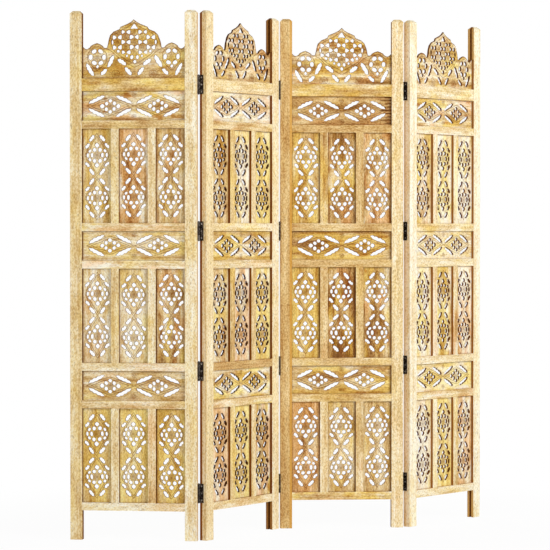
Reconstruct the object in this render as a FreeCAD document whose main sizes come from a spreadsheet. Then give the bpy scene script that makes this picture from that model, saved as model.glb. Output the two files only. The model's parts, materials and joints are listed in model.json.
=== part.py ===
import FreeCAD, Part
import math
import os
import Sketcher
from FreeCAD import Placement, Rotation, Vector

# Carved folding screen of four frame-and-board leaves, joined by steel butt hinges.
# Frame: +Z up, +X along the run of the zigzag, +Y to the back,
# origin on the floor at the middle of the footprint. Millimetres and degrees.
driving_sizes = {
    # frame of one leaf
    "leaf_width": 400.0,
    "stile_width": 38.0,
    "stile_thickness": 25.0,
    "stile_rise": 211.0,  # stile above the top rail
    "stile_top_chamfer": 8.0,  # cut corners on top of a stile
    "leg_height": 92.0,  # floor to bottom rail
    "rail_height": 25.0,
    "top_rail_height": 39.0,
    "muntin_width": 25.0,
    "rail_setback": 0.5,  # rail and muntin faces behind the stile faces
    # openings that the boards fill
    "panel_opening_height": 294.0,
    "frieze_opening_height": 92.0,
    "crest_height": 181.0,
    # boards and the grooves that hold them
    "board_thickness": 7.0,
    "groove_depth": 7.0,
    "board_clearance": 0.2,  # each face of a board or tenon in its groove
    "board_play": 0.8,  # room at a board's edges for the wood to swell
    # butt hinges
    "hinge_height": 60.0,
    "plate_width": 16.5,  # pin centre to the far edge of a plate
    "plate_thickness": 1.3,
    "plate_gap": 1.6,  # between two plates when their leaves are in line
    "barrel_diameter": 5.6,
    "barrel_clearance": 0.3,  # barrel to stile corners and plate notches
    "knuckle_gap": 0.3,
    "pin_diameter": 2.6,
    "pin_running_clearance": 0.05,
    "pin_head_diameter": 4.4,
    "pin_head_height": 1.2,
    # countersunk wood screws
    "screw_length": 16.0,
    "screw_diameter": 2.8,
    "screw_head_diameter": 5.2,
    "screw_spacing": 22.0,
    "screw_clearance": 0.05,
    "screw_recess_width": 0.9,
    "screw_recess_depth": 0.7,
    # how far each leaf is folded from the line of the leaf before it
    "first_fold": 62.4,
    "middle_fold": 51.2,
    "last_fold": 46.4,
    "cut_overrun": 1.0,
}

leaf_count = 4
tier_count = 3
panels_per_tier = 3
muntins_per_tier = panels_per_tier - 1
knuckle_count = 5
screw_steps = (-1, 0, 1)

doc = FreeCAD.newDocument("FoldingScreen")
sheet = doc.addObject("Spreadsheet::Sheet", "Sizes")
for row, (alias, number) in enumerate(driving_sizes.items(), start=1):
    sheet.set(f"A{row}", str(number))
    sheet.setAlias(f"A{row}", alias)
doc.recompute()


def value(expression):
    return float(sheet.evalExpression(expression))


# Sizes that follow from the driving ones, as expressions on the sheet.
inner_width = "(Sizes.leaf_width - 2 * Sizes.stile_width)"
panel_opening_width = (
    f"(({inner_width} - {muntins_per_tier} * Sizes.muntin_width) / {panels_per_tier})"
)
groove_width = "(Sizes.board_thickness + 2 * Sizes.board_clearance)"
groove_front = f"((Sizes.stile_thickness - {groove_width}) / 2)"
groove_back = f"((Sizes.stile_thickness + {groove_width}) / 2)"
board_front = "((Sizes.stile_thickness - Sizes.board_thickness) / 2)"
board_back = "((Sizes.stile_thickness + Sizes.board_thickness) / 2)"
bar_front = "Sizes.rail_setback"
bar_back = "(Sizes.stile_thickness - Sizes.rail_setback)"
tenon_length = "(Sizes.groove_depth - Sizes.board_play / 2)"
board_growth = "(2 * Sizes.groove_depth - Sizes.board_play)"
tier_step = (
    "(Sizes.panel_opening_height + Sizes.frieze_opening_height + 2 * Sizes.rail_height)"
)
top_rail_floor = f"(Sizes.leg_height + {tier_count} * {tier_step})"
stile_height = f"({top_rail_floor} + Sizes.top_rail_height + Sizes.stile_rise)"

hinge_gap = "(2 * Sizes.plate_thickness + Sizes.plate_gap)"
barrel_radius = "(Sizes.barrel_diameter / 2)"
notch_radius = f"({barrel_radius} + Sizes.barrel_clearance)"
# The pin stands just far enough off the face for the barrel to clear the stile corner.
pin_offset = f"sqrt({notch_radius} ^ 2 - ({hinge_gap} / 2) ^ 2)"
knuckle_pitch = f"(Sizes.hinge_height / {knuckle_count})"
screw_line = f"(({notch_radius} + Sizes.plate_width) / 2)"
screw_radius = "(Sizes.screw_diameter / 2)"
screw_hole_radius = f"({screw_radius} + Sizes.screw_clearance)"
screw_head_depth = "((Sizes.screw_head_diameter - Sizes.screw_diameter) / 2)"
screw_hole_depth = "(Sizes.screw_length - Sizes.plate_thickness + Sizes.screw_clearance)"

# Heights above the floor of what stacks up between the stiles.
leg = value("Sizes.leg_height")
rail = value("Sizes.rail_height")
panel_height = value("Sizes.panel_opening_height")
frieze_height = value("Sizes.frieze_opening_height")
tier_floors = [leg + rail + tier * value(tier_step) for tier in range(tier_count)]
frieze_floors = [floor + panel_height + rail for floor in tier_floors]
lower_rail_floors = [floor + panel_height for floor in tier_floors]
upper_rail_floors = [floor + frieze_height for floor in frieze_floors[:-1]]
middle_rail_floors = lower_rail_floors + upper_rail_floors

# Each joint has four hinges: one just above the bottom rail, two level with the lower
# edges of the rails over the friezes, and one in line with the top rail.
lowest_hinge = "(Sizes.leg_height + Sizes.rail_height + Sizes.hinge_height / 2)"
hinge_levels = [
    lowest_hinge,
    f"(Sizes.leg_height + {tier_step})",
    f"(Sizes.leg_height + 2 * {tier_step})",
    f"({top_rail_floor} + Sizes.top_rail_height / 2)",
]


def origin_plane(body, role):
    return next(item for item in body.Origin.OriginFeatures if item.Role == role)


def add_sketch(body, name, role):
    sketch = body.newObject("Sketcher::SketchObject", name)
    sketch.AttachmentSupport = (origin_plane(body, role), "")
    sketch.MapMode = "FlatFace"
    return sketch


# Ties one coordinate of a sketch point to an expression, or to an axis where it is zero.
def tie_coordinate(sketch, kind, axis, geometry, point, expression):
    if expression == "0":
        sketch.addConstraint(Sketcher.Constraint("PointOnObject", geometry, point, axis))
        return
    tie = Sketcher.Constraint(kind, -1, 1, geometry, point, value(expression))
    index = sketch.addConstraint(tie)
    sketch.setExpression(f"Constraints[{index}]", expression)


def tie_point(sketch, geometry, point, place):
    tie_coordinate(sketch, "DistanceX", -2, geometry, point, place[0])
    tie_coordinate(sketch, "DistanceY", -1, geometry, point, place[1])


# A closed outline of straight lines whose corners are pairs of expressions.
def outline_sketch(body, name, role, corners):
    sketch = add_sketch(body, name, role)
    points = [Vector(value(across), value(up), 0) for across, up in corners]
    count = len(points)
    for index in range(count):
        line = Part.LineSegment(points[index], points[(index + 1) % count])
        sketch.addGeometry(line, False)
    for index in range(count):
        following = (index + 1) % count
        sketch.addConstraint(Sketcher.Constraint("Coincident", index, 2, following, 1))
    for index, corner in enumerate(corners):
        tie_point(sketch, index, 1, corner)
    return sketch


def add_pad(body, name, sketch, length, side_type):
    pad = body.newObject("PartDesign::Pad", name)
    pad.Profile = sketch
    pad.setExpression("Length", length)
    pad.SideType = side_type
    return pad


# A bar with ploughed edges and a stub tenon at each end, centred along its length.
def make_bar(name, role, section, length, tenon):
    body = doc.addObject("PartDesign::Body", name)
    profile = outline_sketch(body, f"{name}_section", role, section)
    add_pad(body, f"{name}_length", profile, length, "Symmetric")
    end = outline_sketch(body, f"{name}_tenon_section", role, tenon)
    add_pad(body, f"{name}_tenons", end, f"{length} + 2 * {tenon_length}", "Symmetric")
    return body


# Rail section in depth and height, grooved along the upper edge and perhaps the lower one.
def make_rail(name, height, lower_groove):
    deep = "Sizes.groove_depth"
    high_floor = f"({height} - {deep})"
    below = []
    if lower_groove:
        below = [(groove_front, "0"), (groove_front, deep), (groove_back, deep), (groove_back, "0")]
    section = [(bar_front, "0")] + below + [
        (bar_back, "0"),
        (bar_back, height),
        (groove_back, height),
        (groove_back, high_floor),
        (groove_front, high_floor),
        (groove_front, height),
        (bar_front, height),
    ]
    low_floor = deep if lower_groove else "0"
    tenon = [
        (board_front, low_floor),
        (board_back, low_floor),
        (board_back, high_floor),
        (board_front, high_floor),
    ]
    return make_bar(name, "YZ_Plane", section, inner_width, tenon)


# Muntin section in width and depth, grooved along both edges.
def make_muntin(name):
    deep = "Sizes.groove_depth"
    wide = "Sizes.muntin_width"
    far_floor = f"({wide} - {deep})"
    section = [
        ("0", bar_front),
        (wide, bar_front),
        (wide, groove_front),
        (far_floor, groove_front),
        (far_floor, groove_back),
        (wide, groove_back),
        (wide, bar_back),
        ("0", bar_back),
        ("0", groove_back),
        (deep, groove_back),
        (deep, groove_front),
        ("0", groove_front),
    ]
    tenon = [
        (deep, board_front),
        (far_floor, board_front),
        (far_floor, board_back),
        (deep, board_back),
    ]
    return make_bar(name, "XY_Plane", section, "Sizes.panel_opening_height", tenon)


# Stile with its outer edge on the YZ plane and its groove along the inner edge.
# A hinged stile has a pilot hole for every screw in its outer edge.
def make_stile(label, hinge_face):
    body = doc.addObject("PartDesign::Body", label)
    body.Label = label
    wide = "Sizes.stile_width"
    thick = "Sizes.stile_thickness"
    floor = f"({wide} - Sizes.groove_depth)"
    section = [
        ("0", "0"),
        (wide, "0"),
        (wide, groove_front),
        (floor, groove_front),
        (floor, groove_back),
        (wide, groove_back),
        (wide, thick),
        ("0", thick),
    ]
    profile = outline_sketch(body, f"{label}_section", "XY_Plane", section)
    add_pad(body, f"{label}_length", profile, stile_height, "One side")
    doc.recompute()
    cut_top_corners(body, label)
    if hinge_face:
        drill_pilot_holes(body, label, hinge_face)
    return body


# A pocket has to take something away from its body.
def add_pocket(body, name, sketch, settings, length=None):
    before = body.Shape.Volume
    pocket = body.newObject("PartDesign::Pocket", name)
    pocket.Profile = sketch
    for key, setting in settings.items():
        setattr(pocket, key, setting)
    if length:
        pocket.setExpression("Length", length)
    doc.recompute()
    if body.Shape.Volume >= before:
        raise RuntimeError(f"{name} cuts nothing")


# The top of a stile is hipped: all four upper edges are cut off alike.
def cut_top_corners(body, label):
    cut_back = "Sizes.stile_top_chamfer"
    shoulder = f"({stile_height} - {cut_back})"
    ways = (
        ("side", "XZ_Plane", "Sizes.stile_width", False),
        ("face", "YZ_Plane", "Sizes.stile_thickness", True),
    )
    for way, role, reach, reversed_cut in ways:
        settings = {"Type": "ThroughAll", "Reversed": reversed_cut}
        near = [("0", shoulder), (cut_back, stile_height), ("0", stile_height)]
        far = [(reach, shoulder), (reach, stile_height), (f"({reach} - {cut_back})", stile_height)]
        for end, triangle in (("near", near), ("far", far)):
            name = f"{label}_{end}_{way}"
            sketch = outline_sketch(body, f"{name}_corner", role, triangle)
            add_pocket(body, f"{name}_chamfer", sketch, settings)


def drill_pilot_holes(body, label, hinge_face):
    depth_in = f"({screw_line} - {pin_offset})"
    across = depth_in if hinge_face == "near" else f"(Sizes.stile_thickness - {depth_in})"
    sketch = add_sketch(body, f"{label}_screw_places", "YZ_Plane")
    count = 0
    for level in hinge_levels:
        for step in screw_steps:
            up = f"({level} + {step} * Sizes.screw_spacing)"
            centre = Vector(value(across), value(up), 0)
            circle = Part.Circle(centre, Vector(0, 0, 1), value(screw_hole_radius))
            sketch.addGeometry(circle, False)
            radius = Sketcher.Constraint("Radius", count, value(screw_hole_radius))
            index = sketch.addConstraint(radius)
            sketch.setExpression(f"Constraints[{index}]", screw_hole_radius)
            tie_point(sketch, count, 3, (across, up))
            count += 1
    name = f"{label}_pilot_holes"
    add_pocket(body, name, sketch, {"Reversed": True}, screw_hole_depth)


# A pierced hole drawn in the plane of a board: two arcs between two tips, each bowed
# out from the line between the tips by its own bulge. A round hole has equal bulges.
def pierced_hole(tip, other_tip, bulge, other_bulge):
    middle = (tip + other_tip) * 0.5
    side = (other_tip - tip).cross(Vector(0, 1, 0)).normalize()
    there = Part.Arc(tip, middle + side * bulge, other_tip)
    back = Part.Arc(other_tip, middle - side * other_bulge, tip)
    return Part.Wire([there.toShape(), back.toShape()])


# Solids that cut the holes right through a board.
def cutter(name, holes):
    overrun = Vector(0, value("Sizes.cut_overrun"), 0)
    through = Vector(0, value("Sizes.board_thickness"), 0) + overrun * 2
    start = Vector(0, value(board_front), 0) - overrun
    solids = []
    for wire in holes:
        solid = Part.Face(wire).extrude(through)
        solid.translate(start)
        solids.append(solid)
    tool = doc.addObject("Part::Feature", name)
    tool.Shape = Part.makeCompound(solids)
    return tool


# A rectangular board, centred on its opening and standing on the groove below it.
def board_blank(name, opening_width, opening_height):
    blank = doc.addObject("Part::Box", name)
    length = f"({opening_width} + {board_growth})"
    blank.setExpression("Length", length)
    blank.setExpression("Width", "Sizes.board_thickness")
    blank.setExpression("Height", f"{opening_height} + {board_growth}")
    blank.setExpression("Placement.Base.x", f"-{length} / 2")
    blank.setExpression("Placement.Base.y", board_front)
    blank.setExpression("Placement.Base.z", f"-{opening_height} / 2 - Sizes.groove_depth")
    return blank


def pierce(name, blank, holes):
    board = doc.addObject("Part::Cut", name)
    board.Base = blank
    board.Tool = cutter(f"{name}_piercings", holes)
    return board


# A motif's holes lie beside its centre, above and below it, or around it in all quarters.
# A row holds two tips and two bulges: across and bulges as shares of the motif's half
# width, up as shares of its half height.
mirror_signs = {
    "beside": ((1, 1), (-1, 1)),
    "above": ((1, 1), (1, -1)),
    "around": ((1, 1), (-1, 1), (1, -1), (-1, -1)),
}

panel_motif_shares = {
    "beside": [
        (0.359, -0.099, 0.359, 0.099, 0.104, 0.104),  # inner ring
        (0.666, -0.094, 0.666, 0.094, 0.087, 0.087),  # outer ring
    ],
    "above": [(0.0, 0.315, 0.0, 0.517, 0.134, 0.134)],
    "around": [
        (0.078, 0.271, 0.307, 0.191, 0.120, 0.120),  # inner ring
        (0.616, 0.130, 0.443, 0.234, 0.092, 0.092),  # outer ring
        (0.821, 0.297, 0.526, 0.476, 0.096, 0.105),  # short leaf slot
        (0.539, 0.569, 0.182, 0.823, 0.107, 0.118),  # long leaf slot
    ],
}
panel_motif_centre_share = 0.456  # of the half height of the opening

frieze_motif_shares = {
    "beside": [(0.228, 0.0, 0.395, 0.0, 0.080, 0.080)],
    "above": [(-0.075, 0.361, 0.075, 0.361, 0.069, 0.069)],
    "around": [
        (0.103, 0.270, 0.204, 0.087, 0.070, 0.070),
        (0.833, 0.174, 0.222, 0.685, 0.064, 0.076),  # long leaf slot
    ],
}
frieze_motif_centre_share = 0.466  # of the half width of the opening


def motif_holes(centre, half_width, half_height, motif_shares):
    holes = []
    for group, rows in motif_shares.items():
        for across, up in mirror_signs[group]:
            for tip_x, tip_z, far_x, far_z, inner, outer in rows:
                wide = across * half_width
                high = up * half_height
                tip = centre + Vector(tip_x * wide, 0, tip_z * high)
                far = centre + Vector(far_x * wide, 0, far_z * high)
                bulges = (inner * half_width, outer * half_width)
                near_bulge, far_bulge = bulges if across * up > 0 else bulges[::-1]
                holes.append(pierced_hole(tip, far, near_bulge, far_bulge))
    return holes


def make_panel(name):
    half_width = value(panel_opening_width) / 2
    half_height = panel_height / 2
    holes = []
    for side in (1, -1):
        centre = Vector(0, 0, side * panel_motif_centre_share * half_height)
        holes += motif_holes(centre, half_width, half_height / 2, panel_motif_shares)
    blank = board_blank(f"{name}_blank", panel_opening_width, "Sizes.panel_opening_height")
    return pierce(name, blank, holes)


def make_frieze(name):
    half_width = value(inner_width) / 2
    half_height = frieze_height / 2
    holes = []
    for side in (1, -1):
        centre = Vector(side * frieze_motif_centre_share * half_width, 0, 0)
        holes += motif_holes(centre, half_width / 2, half_height, frieze_motif_shares)
    blank = board_blank(f"{name}_blank", inner_width, "Sizes.frieze_opening_height")
    return pierce(name, blank, holes)


# Right half of the crest's upper edge, from the stile to the tip: across as shares of the
# half width, up as shares of the height. A row with four values is an arc, by way of its
# first point to its second, and a row with two is a straight step.
crest_edge_shares = [
    (0.969, 0.522, 0.932, 0.503),  # hollow beside the stile
    (0.895, 0.511, 0.855, 0.536),  # side lobe
    (0.846, 0.555),
    (0.790, 0.583, 0.728, 0.600),  # tip of the side lobe
    (0.667, 0.583, 0.611, 0.555),
    (0.602, 0.536),
    (0.565, 0.522, 0.531, 0.525),  # hollow between lobe and dome
    (0.522, 0.552),
    (0.466, 0.735, 0.284, 0.840),  # dome
    (0.262, 0.878),
    (0.130, 0.926, 0.0, 1.0),  # ogee up to the tip
]
crest_horn_share = 0.558  # height at which the board enters the stile
# Lattice of round holes between the dome's rosettes: places in lattice steps from the
# dome's centre, with the radius of each hole.
lattice_step_shares = (0.1636, 0.0862)  # of the half width, of the height
dome_centre_share = 0.616
wide_hole_share = 0.0383
narrow_hole_share = 0.0333
lattice_hole_shares = [
    (2 / 3, 0, wide_hole_share),
    (4 / 3, 0, wide_hole_share),
    (1 / 3, 1, wide_hole_share),
    (5 / 3, 1, wide_hole_share),
    (2 / 3, 2, wide_hole_share),
    (4 / 3, 2, narrow_hole_share),
    (7 / 3, 1, wide_hole_share),
]
# Slots and odd holes of the right half: two tips and two bulges, across and bulges as
# shares of the half width, up as shares of the height.
crest_slot_shares = [
    (0.920, 0.249, 0.793, 0.050, 0.038, 0.028),  # below the lobe, by the stile
    (0.543, 0.149, 0.648, 0.061, 0.031, 0.029),  # below the lobe, by the dome
    (0.407, 0.387, 0.528, 0.193, 0.034, 0.034),  # between lobe and dome
    (0.318, 0.320, 0.173, 0.224, 0.034, 0.034),  # below the dome
    (0.179, 0.174, 0.068, 0.052, 0.031, 0.031),  # beside the stem
    (0.420, 0.576, 0.420, 0.656, 0.020, 0.020),  # outermost of the lattice
    (0.024, 0.356, 0.086, 0.356, 0.037, 0.037),  # low in the lattice
    (0.124, 0.381, 0.167, 0.381, 0.025, 0.025),
    (0.283, 0.467, 0.343, 0.467, 0.026, 0.026),
    (0.722, 0.166, 0.722, 0.230, 0.030, 0.030),  # foot of the lobe's wheel
]
# Holes on the middle line of the crest.
crest_middle_shares = [
    (-0.071, 0.845, 0.071, 0.845, 0.093, -0.012),  # under the tip
    (0.0, 0.246, 0.0, 0.312, 0.033, 0.033),  # foot of the dome
]
lobe_centre_shares = (0.722, 0.365)
wheel_radius_share = 0.128
wheel_hole_share = 0.050
wheel_bulge_share = 0.034
wheel_hole_count = 6


def make_crest(name):
    half_width = value(inner_width) / 2
    height = value("Sizes.crest_height")
    centre = Vector(0, 0, dome_centre_share * height)
    across_step, up_step = lattice_step_shares
    holes = []
    for across, up in mirror_signs["around"]:
        for steps_across, steps_up, radius_share in lattice_hole_shares:
            if steps_up == 0 and up < 0:
                continue
            place = Vector(
                across * steps_across * across_step * half_width,
                0,
                up * steps_up * up_step * height,
            )
            radius = radius_share * half_width
            tip = centre + place - Vector(radius, 0, 0)
            far = centre + place + Vector(radius, 0, 0)
            holes.append(pierced_hole(tip, far, radius, radius))
    for tip_x, tip_z, far_x, far_z, inner, outer in crest_slot_shares:
        for across in (1, -1):
            tip = Vector(across * tip_x * half_width, 0, tip_z * height)
            far = Vector(across * far_x * half_width, 0, far_z * height)
            bulges = (inner * half_width, outer * half_width)
            holes.append(pierced_hole(tip, far, *(bulges if across > 0 else bulges[::-1])))
    for tip_x, tip_z, far_x, far_z, inner, outer in crest_middle_shares:
        tip = Vector(tip_x * half_width, 0, tip_z * height)
        far = Vector(far_x * half_width, 0, far_z * height)
        holes.append(pierced_hole(tip, far, inner * half_width, outer * half_width))
    for across in (1, -1):
        holes += wheel_holes(across, half_width, height)
    blank = doc.addObject("Part::Feature", f"{name}_blank")
    blank.Shape = crest_blank(half_width, height)
    return pierce(name, blank, holes)


# The ring of openings round a side lobe's rosette.
def wheel_holes(across, half_width, height):
    centre_x, centre_z = lobe_centre_shares
    centre = Vector(across * centre_x * half_width, 0, centre_z * height)
    reach = wheel_radius_share * half_width
    half_length = wheel_hole_share * half_width
    bulge = wheel_bulge_share * half_width
    holes = []
    for index in range(wheel_hole_count):
        angle = math.tau * index / wheel_hole_count
        outward = Vector(math.cos(angle), 0, math.sin(angle))
        along = Vector(-math.sin(angle), 0, math.cos(angle))
        middle = centre + outward * reach
        tip = middle - along * half_length
        far = middle + along * half_length
        holes.append(pierced_hole(tip, far, bulge, bulge))
    return holes


def crest_blank(half_width, height):
    half_board = half_width + value(board_growth) / 2
    foot = -value("Sizes.groove_depth")
    front = value(board_front)

    def at(across, up):
        return Vector(across, front, up)

    horn = crest_horn_share * height
    half_edges = [Part.LineSegment(at(half_board, horn), at(half_width, horn))]
    here = (half_width, horn)
    for row in crest_edge_shares:
        points = [(x * half_width, z * height) for x, z in zip(row[0::2], row[1::2])]
        ends = [at(*here)] + [at(*point) for point in points]
        half_edges.append(Part.Arc(*ends) if len(ends) == 3 else Part.LineSegment(*ends))
        here = points[-1]
    right = [edge.toShape() for edge in half_edges]
    mirrored = [edge.mirror(Vector(0, 0, 0), Vector(1, 0, 0)) for edge in right]
    corners = [at(half_board, foot), at(-half_board, foot)]
    straight = [
        Part.LineSegment(corners[0], at(half_board, horn)).toShape(),
        Part.LineSegment(corners[1], at(-half_board, horn)).toShape(),
        Part.LineSegment(*corners).toShape(),
    ]
    outline = Part.Wire(Part.__sortEdges__(right + mirrored + straight))
    return Part.Face(outline).extrude(Vector(0, value("Sizes.board_thickness"), 0))


# Fasteners and hinges are primitives whose sizes are bound to the sheet.
def primitive(kind, name, sizes, place=None):
    solid = doc.addObject(kind, name)
    for key, expression in sizes.items():
        solid.setExpression(key, expression)
    for axis, expression in (place or {}).items():
        solid.setExpression(f"Placement.Base.{axis}", expression)
    return solid


def fuse(name, shapes):
    joined = doc.addObject("Part::MultiFuse", name)
    joined.Shapes = shapes
    return joined


def cut(name, base, tool):
    rest = doc.addObject("Part::Cut", name)
    rest.Base = base
    rest.Tool = tool
    return rest


upright_to_inward = Rotation(Vector(0, 1, 0), 90)


# Half a hinge, with the pin's line on Z, the plate beyond it along +Y and the wood at +X.
# Its knuckles take the slots named, and its plate is notched where the other half's go.
def make_hinge_half(name, own_slots):
    low_end = "-Sizes.hinge_height / 2"
    plate = primitive(
        "Part::Box",
        f"{name}_plate",
        {
            "Length": "Sizes.plate_thickness",
            "Width": "Sizes.plate_width",
            "Height": "Sizes.hinge_height",
        },
        {"x": "Sizes.plate_gap / 2", "z": low_end},
    )
    solids = [plate]
    cuts = []
    for slot in range(knuckle_count):
        slot_floor = f"{low_end} + {slot} * {knuckle_pitch}"
        if slot in own_slots:
            sizes = {"Radius": barrel_radius, "Height": f"{knuckle_pitch} - Sizes.knuckle_gap"}
            place = {"z": f"{slot_floor} + Sizes.knuckle_gap / 2"}
            solids.append(primitive("Part::Cylinder", f"{name}_knuckle_{slot}", sizes, place))
        else:
            sizes = {"Radius": notch_radius, "Height": f"{knuckle_pitch} + Sizes.knuckle_gap"}
            place = {"z": f"{slot_floor} - Sizes.knuckle_gap / 2"}
            cuts.append(primitive("Part::Cylinder", f"{name}_notch_{slot}", sizes, place))
    bore = {
        "Radius": "Sizes.pin_diameter / 2 + Sizes.pin_running_clearance",
        "Height": "Sizes.hinge_height + 2 * Sizes.cut_overrun",
    }
    cuts.append(
        primitive("Part::Cylinder", f"{name}_bore", bore, {"z": f"{low_end} - Sizes.cut_overrun"})
    )
    for step in screw_steps:
        cuts += screw_hole(f"{name}_hole_{step + 1}", step)
    return cut(name, fuse(f"{name}_solid", solids), fuse(f"{name}_cuts", cuts))


def screw_hole(name, step):
    place = {
        "x": "Sizes.plate_gap / 2",
        "y": screw_line,
        "z": f"{step} * Sizes.screw_spacing",
    }
    shank_length = "Sizes.plate_thickness + Sizes.cut_overrun"
    shank = primitive(
        "Part::Cylinder",
        f"{name}_shank",
        {"Radius": screw_hole_radius, "Height": shank_length},
        place,
    )
    sink = primitive(
        "Part::Cone",
        f"{name}_sink",
        {
            "Radius1": "Sizes.screw_head_diameter / 2 + Sizes.screw_clearance",
            "Radius2": screw_hole_radius,
            "Height": screw_head_depth,
        },
        place,
    )
    for solid in (shank, sink):
        solid.Placement.Rotation = upright_to_inward
    return [shank, sink]


# Hinge pin with a tapered button on each end.
def make_pin(name):
    half = "(Sizes.hinge_height / 2 + Sizes.knuckle_gap)"
    rod = primitive(
        "Part::Cylinder",
        f"{name}_rod",
        {"Radius": "Sizes.pin_diameter / 2", "Height": f"2 * {half}"},
        {"z": f"-{half}"},
    )
    button = {
        "Radius1": "Sizes.pin_head_diameter / 2",
        "Radius2": "Sizes.pin_diameter / 2",
        "Height": "Sizes.pin_head_height",
    }
    top = primitive("Part::Cone", f"{name}_top", button, {"z": half})
    bottom = primitive("Part::Cone", f"{name}_bottom", button, {"z": f"-{half}"})
    bottom.Placement.Rotation = Rotation(Vector(1, 0, 0), 180)
    return fuse(name, [rod, top, bottom])


# Countersunk screw with its head's face at the origin and its point up along +Z.
def make_screw(name):
    point_length = "Sizes.screw_diameter"
    shank_end = f"(Sizes.screw_length - {point_length})"
    head = primitive(
        "Part::Cone",
        f"{name}_head",
        {
            "Radius1": "Sizes.screw_head_diameter / 2",
            "Radius2": screw_radius,
            "Height": screw_head_depth,
        },
    )
    shank = primitive(
        "Part::Cylinder", f"{name}_shank", {"Radius": screw_radius, "Height": shank_end}
    )
    point = primitive(
        "Part::Cone",
        f"{name}_point",
        {"Radius1": screw_radius, "Radius2": "0 mm", "Height": point_length},
        {"z": shank_end},
    )
    long_arm = "(Sizes.screw_head_diameter / 2)"
    short_arm = "Sizes.screw_recess_width"
    arms = []
    for arm, (across, deep) in enumerate(((long_arm, short_arm), (short_arm, long_arm))):
        arms.append(
            primitive(
                "Part::Box",
                f"{name}_recess_{arm}",
                {
                    "Length": across,
                    "Width": deep,
                    "Height": "Sizes.screw_recess_depth + Sizes.cut_overrun",
                },
                {"x": f"-{across} / 2", "y": f"-{deep} / 2", "z": "-Sizes.cut_overrun"},
            )
        )
    solid = fuse(f"{name}_solid", [head, shank, point])
    return cut(name, solid, fuse(f"{name}_recess", arms))


# Plan of the zigzag: heading of each leaf and the floor point under its front left corner.
# The headings add up to nothing, so the screen runs along X.
wide = value("Sizes.leaf_width")
thick = value("Sizes.stile_thickness")
half_gap = value(hinge_gap) / 2
proud = value(pin_offset)
folds = [value("Sizes.first_fold"), -value("Sizes.middle_fold"), value("Sizes.last_fold")]
barrel_faces = ["back", "front", "back"]
turns = [sum(folds[:leaf]) for leaf in range(leaf_count)]
headings = [turn - sum(turns) / leaf_count for turn in turns]


def plan_turn(heading):
    return Rotation(Vector(0, 0, 1), heading)


def pin_depth(face):
    return thick + proud if face == "back" else -proud


corners = [Vector(0, 0, 0)]
pins = []
for joint, face in enumerate(barrel_faces):
    leaf_turn = plan_turn(headings[joint])
    next_turn = plan_turn(headings[joint + 1])
    pin = corners[joint] + leaf_turn.multVec(Vector(wide + half_gap, pin_depth(face), 0))
    pins.append(pin)
    corners.append(pin - next_turn.multVec(Vector(-half_gap, pin_depth(face), 0)))

plan_box = FreeCAD.BoundBox()
for corner, heading in zip(corners, headings):
    for across in (0, wide):
        for deep in (0, thick):
            plan_box.add(corner + plan_turn(heading).multVec(Vector(across, deep, 0)))
middle = Vector(plan_box.Center.x, plan_box.Center.y, 0)
leaf_places = [
    Placement(corner - middle, plan_turn(heading)) for corner, heading in zip(corners, headings)
]

unturned = Rotation()
nodes = []


# One node of copies of a master piece, placed in the frame of the leaf that carries them.
def add_node(label, master, places, leaf_place):
    copies = []
    for index, place in enumerate(places, start=1):
        copy = doc.addObject("App::Link", f"{label}_{index}")
        copy.LinkedObject = master
        copy.Placement = place
        copies.append(copy)
    group = doc.addObject("Part::Compound", label)
    group.Label = label
    group.Links = copies
    group.Placement = leaf_place
    nodes.append(group)


def upright(across, up):
    return Placement(Vector(across, 0, up), unturned)


top_rail = make_rail("top_rail", "Sizes.top_rail_height", True)
middle_rail = make_rail("middle_rail", "Sizes.rail_height", True)
bottom_rail = make_rail("bottom_rail", "Sizes.rail_height", False)
muntin = make_muntin("muntin")
panel = make_panel("panel")
frieze = make_frieze("frieze")
crest = make_crest("crest")

stile_wide = value("Sizes.stile_width")
muntin_wide = value("Sizes.muntin_width")
panel_wide = value(panel_opening_width)
panel_pitch = panel_wide + muntin_wide
leaf_middle = wide / 2
panel_centres = [stile_wide + panel_wide / 2 + index * panel_pitch for index in range(panels_per_tier)]
muntin_edges = [stile_wide + panel_wide + index * panel_pitch for index in range(muntins_per_tier)]
tier_middles = [floor + panel_height / 2 for floor in tier_floors]
tier_names = ("lower", "middle", "upper")
crest_floor = value(f"{top_rail_floor} + Sizes.top_rail_height")

# A left stile sees its hinge's barrel face as it lies, a right stile is turned about,
# so the face that is near on one is far on the other.
left_faces = [None] + ["near" if face == "front" else "far" for face in barrel_faces]
right_faces = ["near" if face == "back" else "far" for face in barrel_faces] + [None]
turned_about = Rotation(Vector(0, 0, 1), 180)

for leaf, place in enumerate(leaf_places):
    name = f"leaf_{leaf + 1}"
    left = make_stile(f"{name}_left_stile", left_faces[leaf])
    left.Placement = place
    right = make_stile(f"{name}_right_stile", right_faces[leaf])
    right.Placement = place.multiply(Placement(Vector(wide, thick, 0), turned_about))
    nodes += [left, right]
    add_node(f"{name}_bottom_rail", bottom_rail, [upright(leaf_middle, leg)], place)
    rails = [upright(leaf_middle, floor) for floor in middle_rail_floors]
    add_node(f"{name}_middle_rails", middle_rail, rails, place)
    add_node(f"{name}_top_rail", top_rail, [upright(leaf_middle, value(top_rail_floor))], place)
    bars = [upright(edge, up) for up in tier_middles for edge in muntin_edges]
    add_node(f"{name}_muntins", muntin, bars, place)
    for tier, up in zip(tier_names, tier_middles):
        boards = [upright(across, up) for across in panel_centres]
        add_node(f"{name}_{tier}_panels", panel, boards, place)
    boards = [upright(leaf_middle, floor + frieze_height / 2) for floor in frieze_floors]
    add_node(f"{name}_friezes", frieze, boards, place)
    add_node(f"{name}_crest", crest, [upright(leaf_middle, crest_floor)], place)

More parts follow.
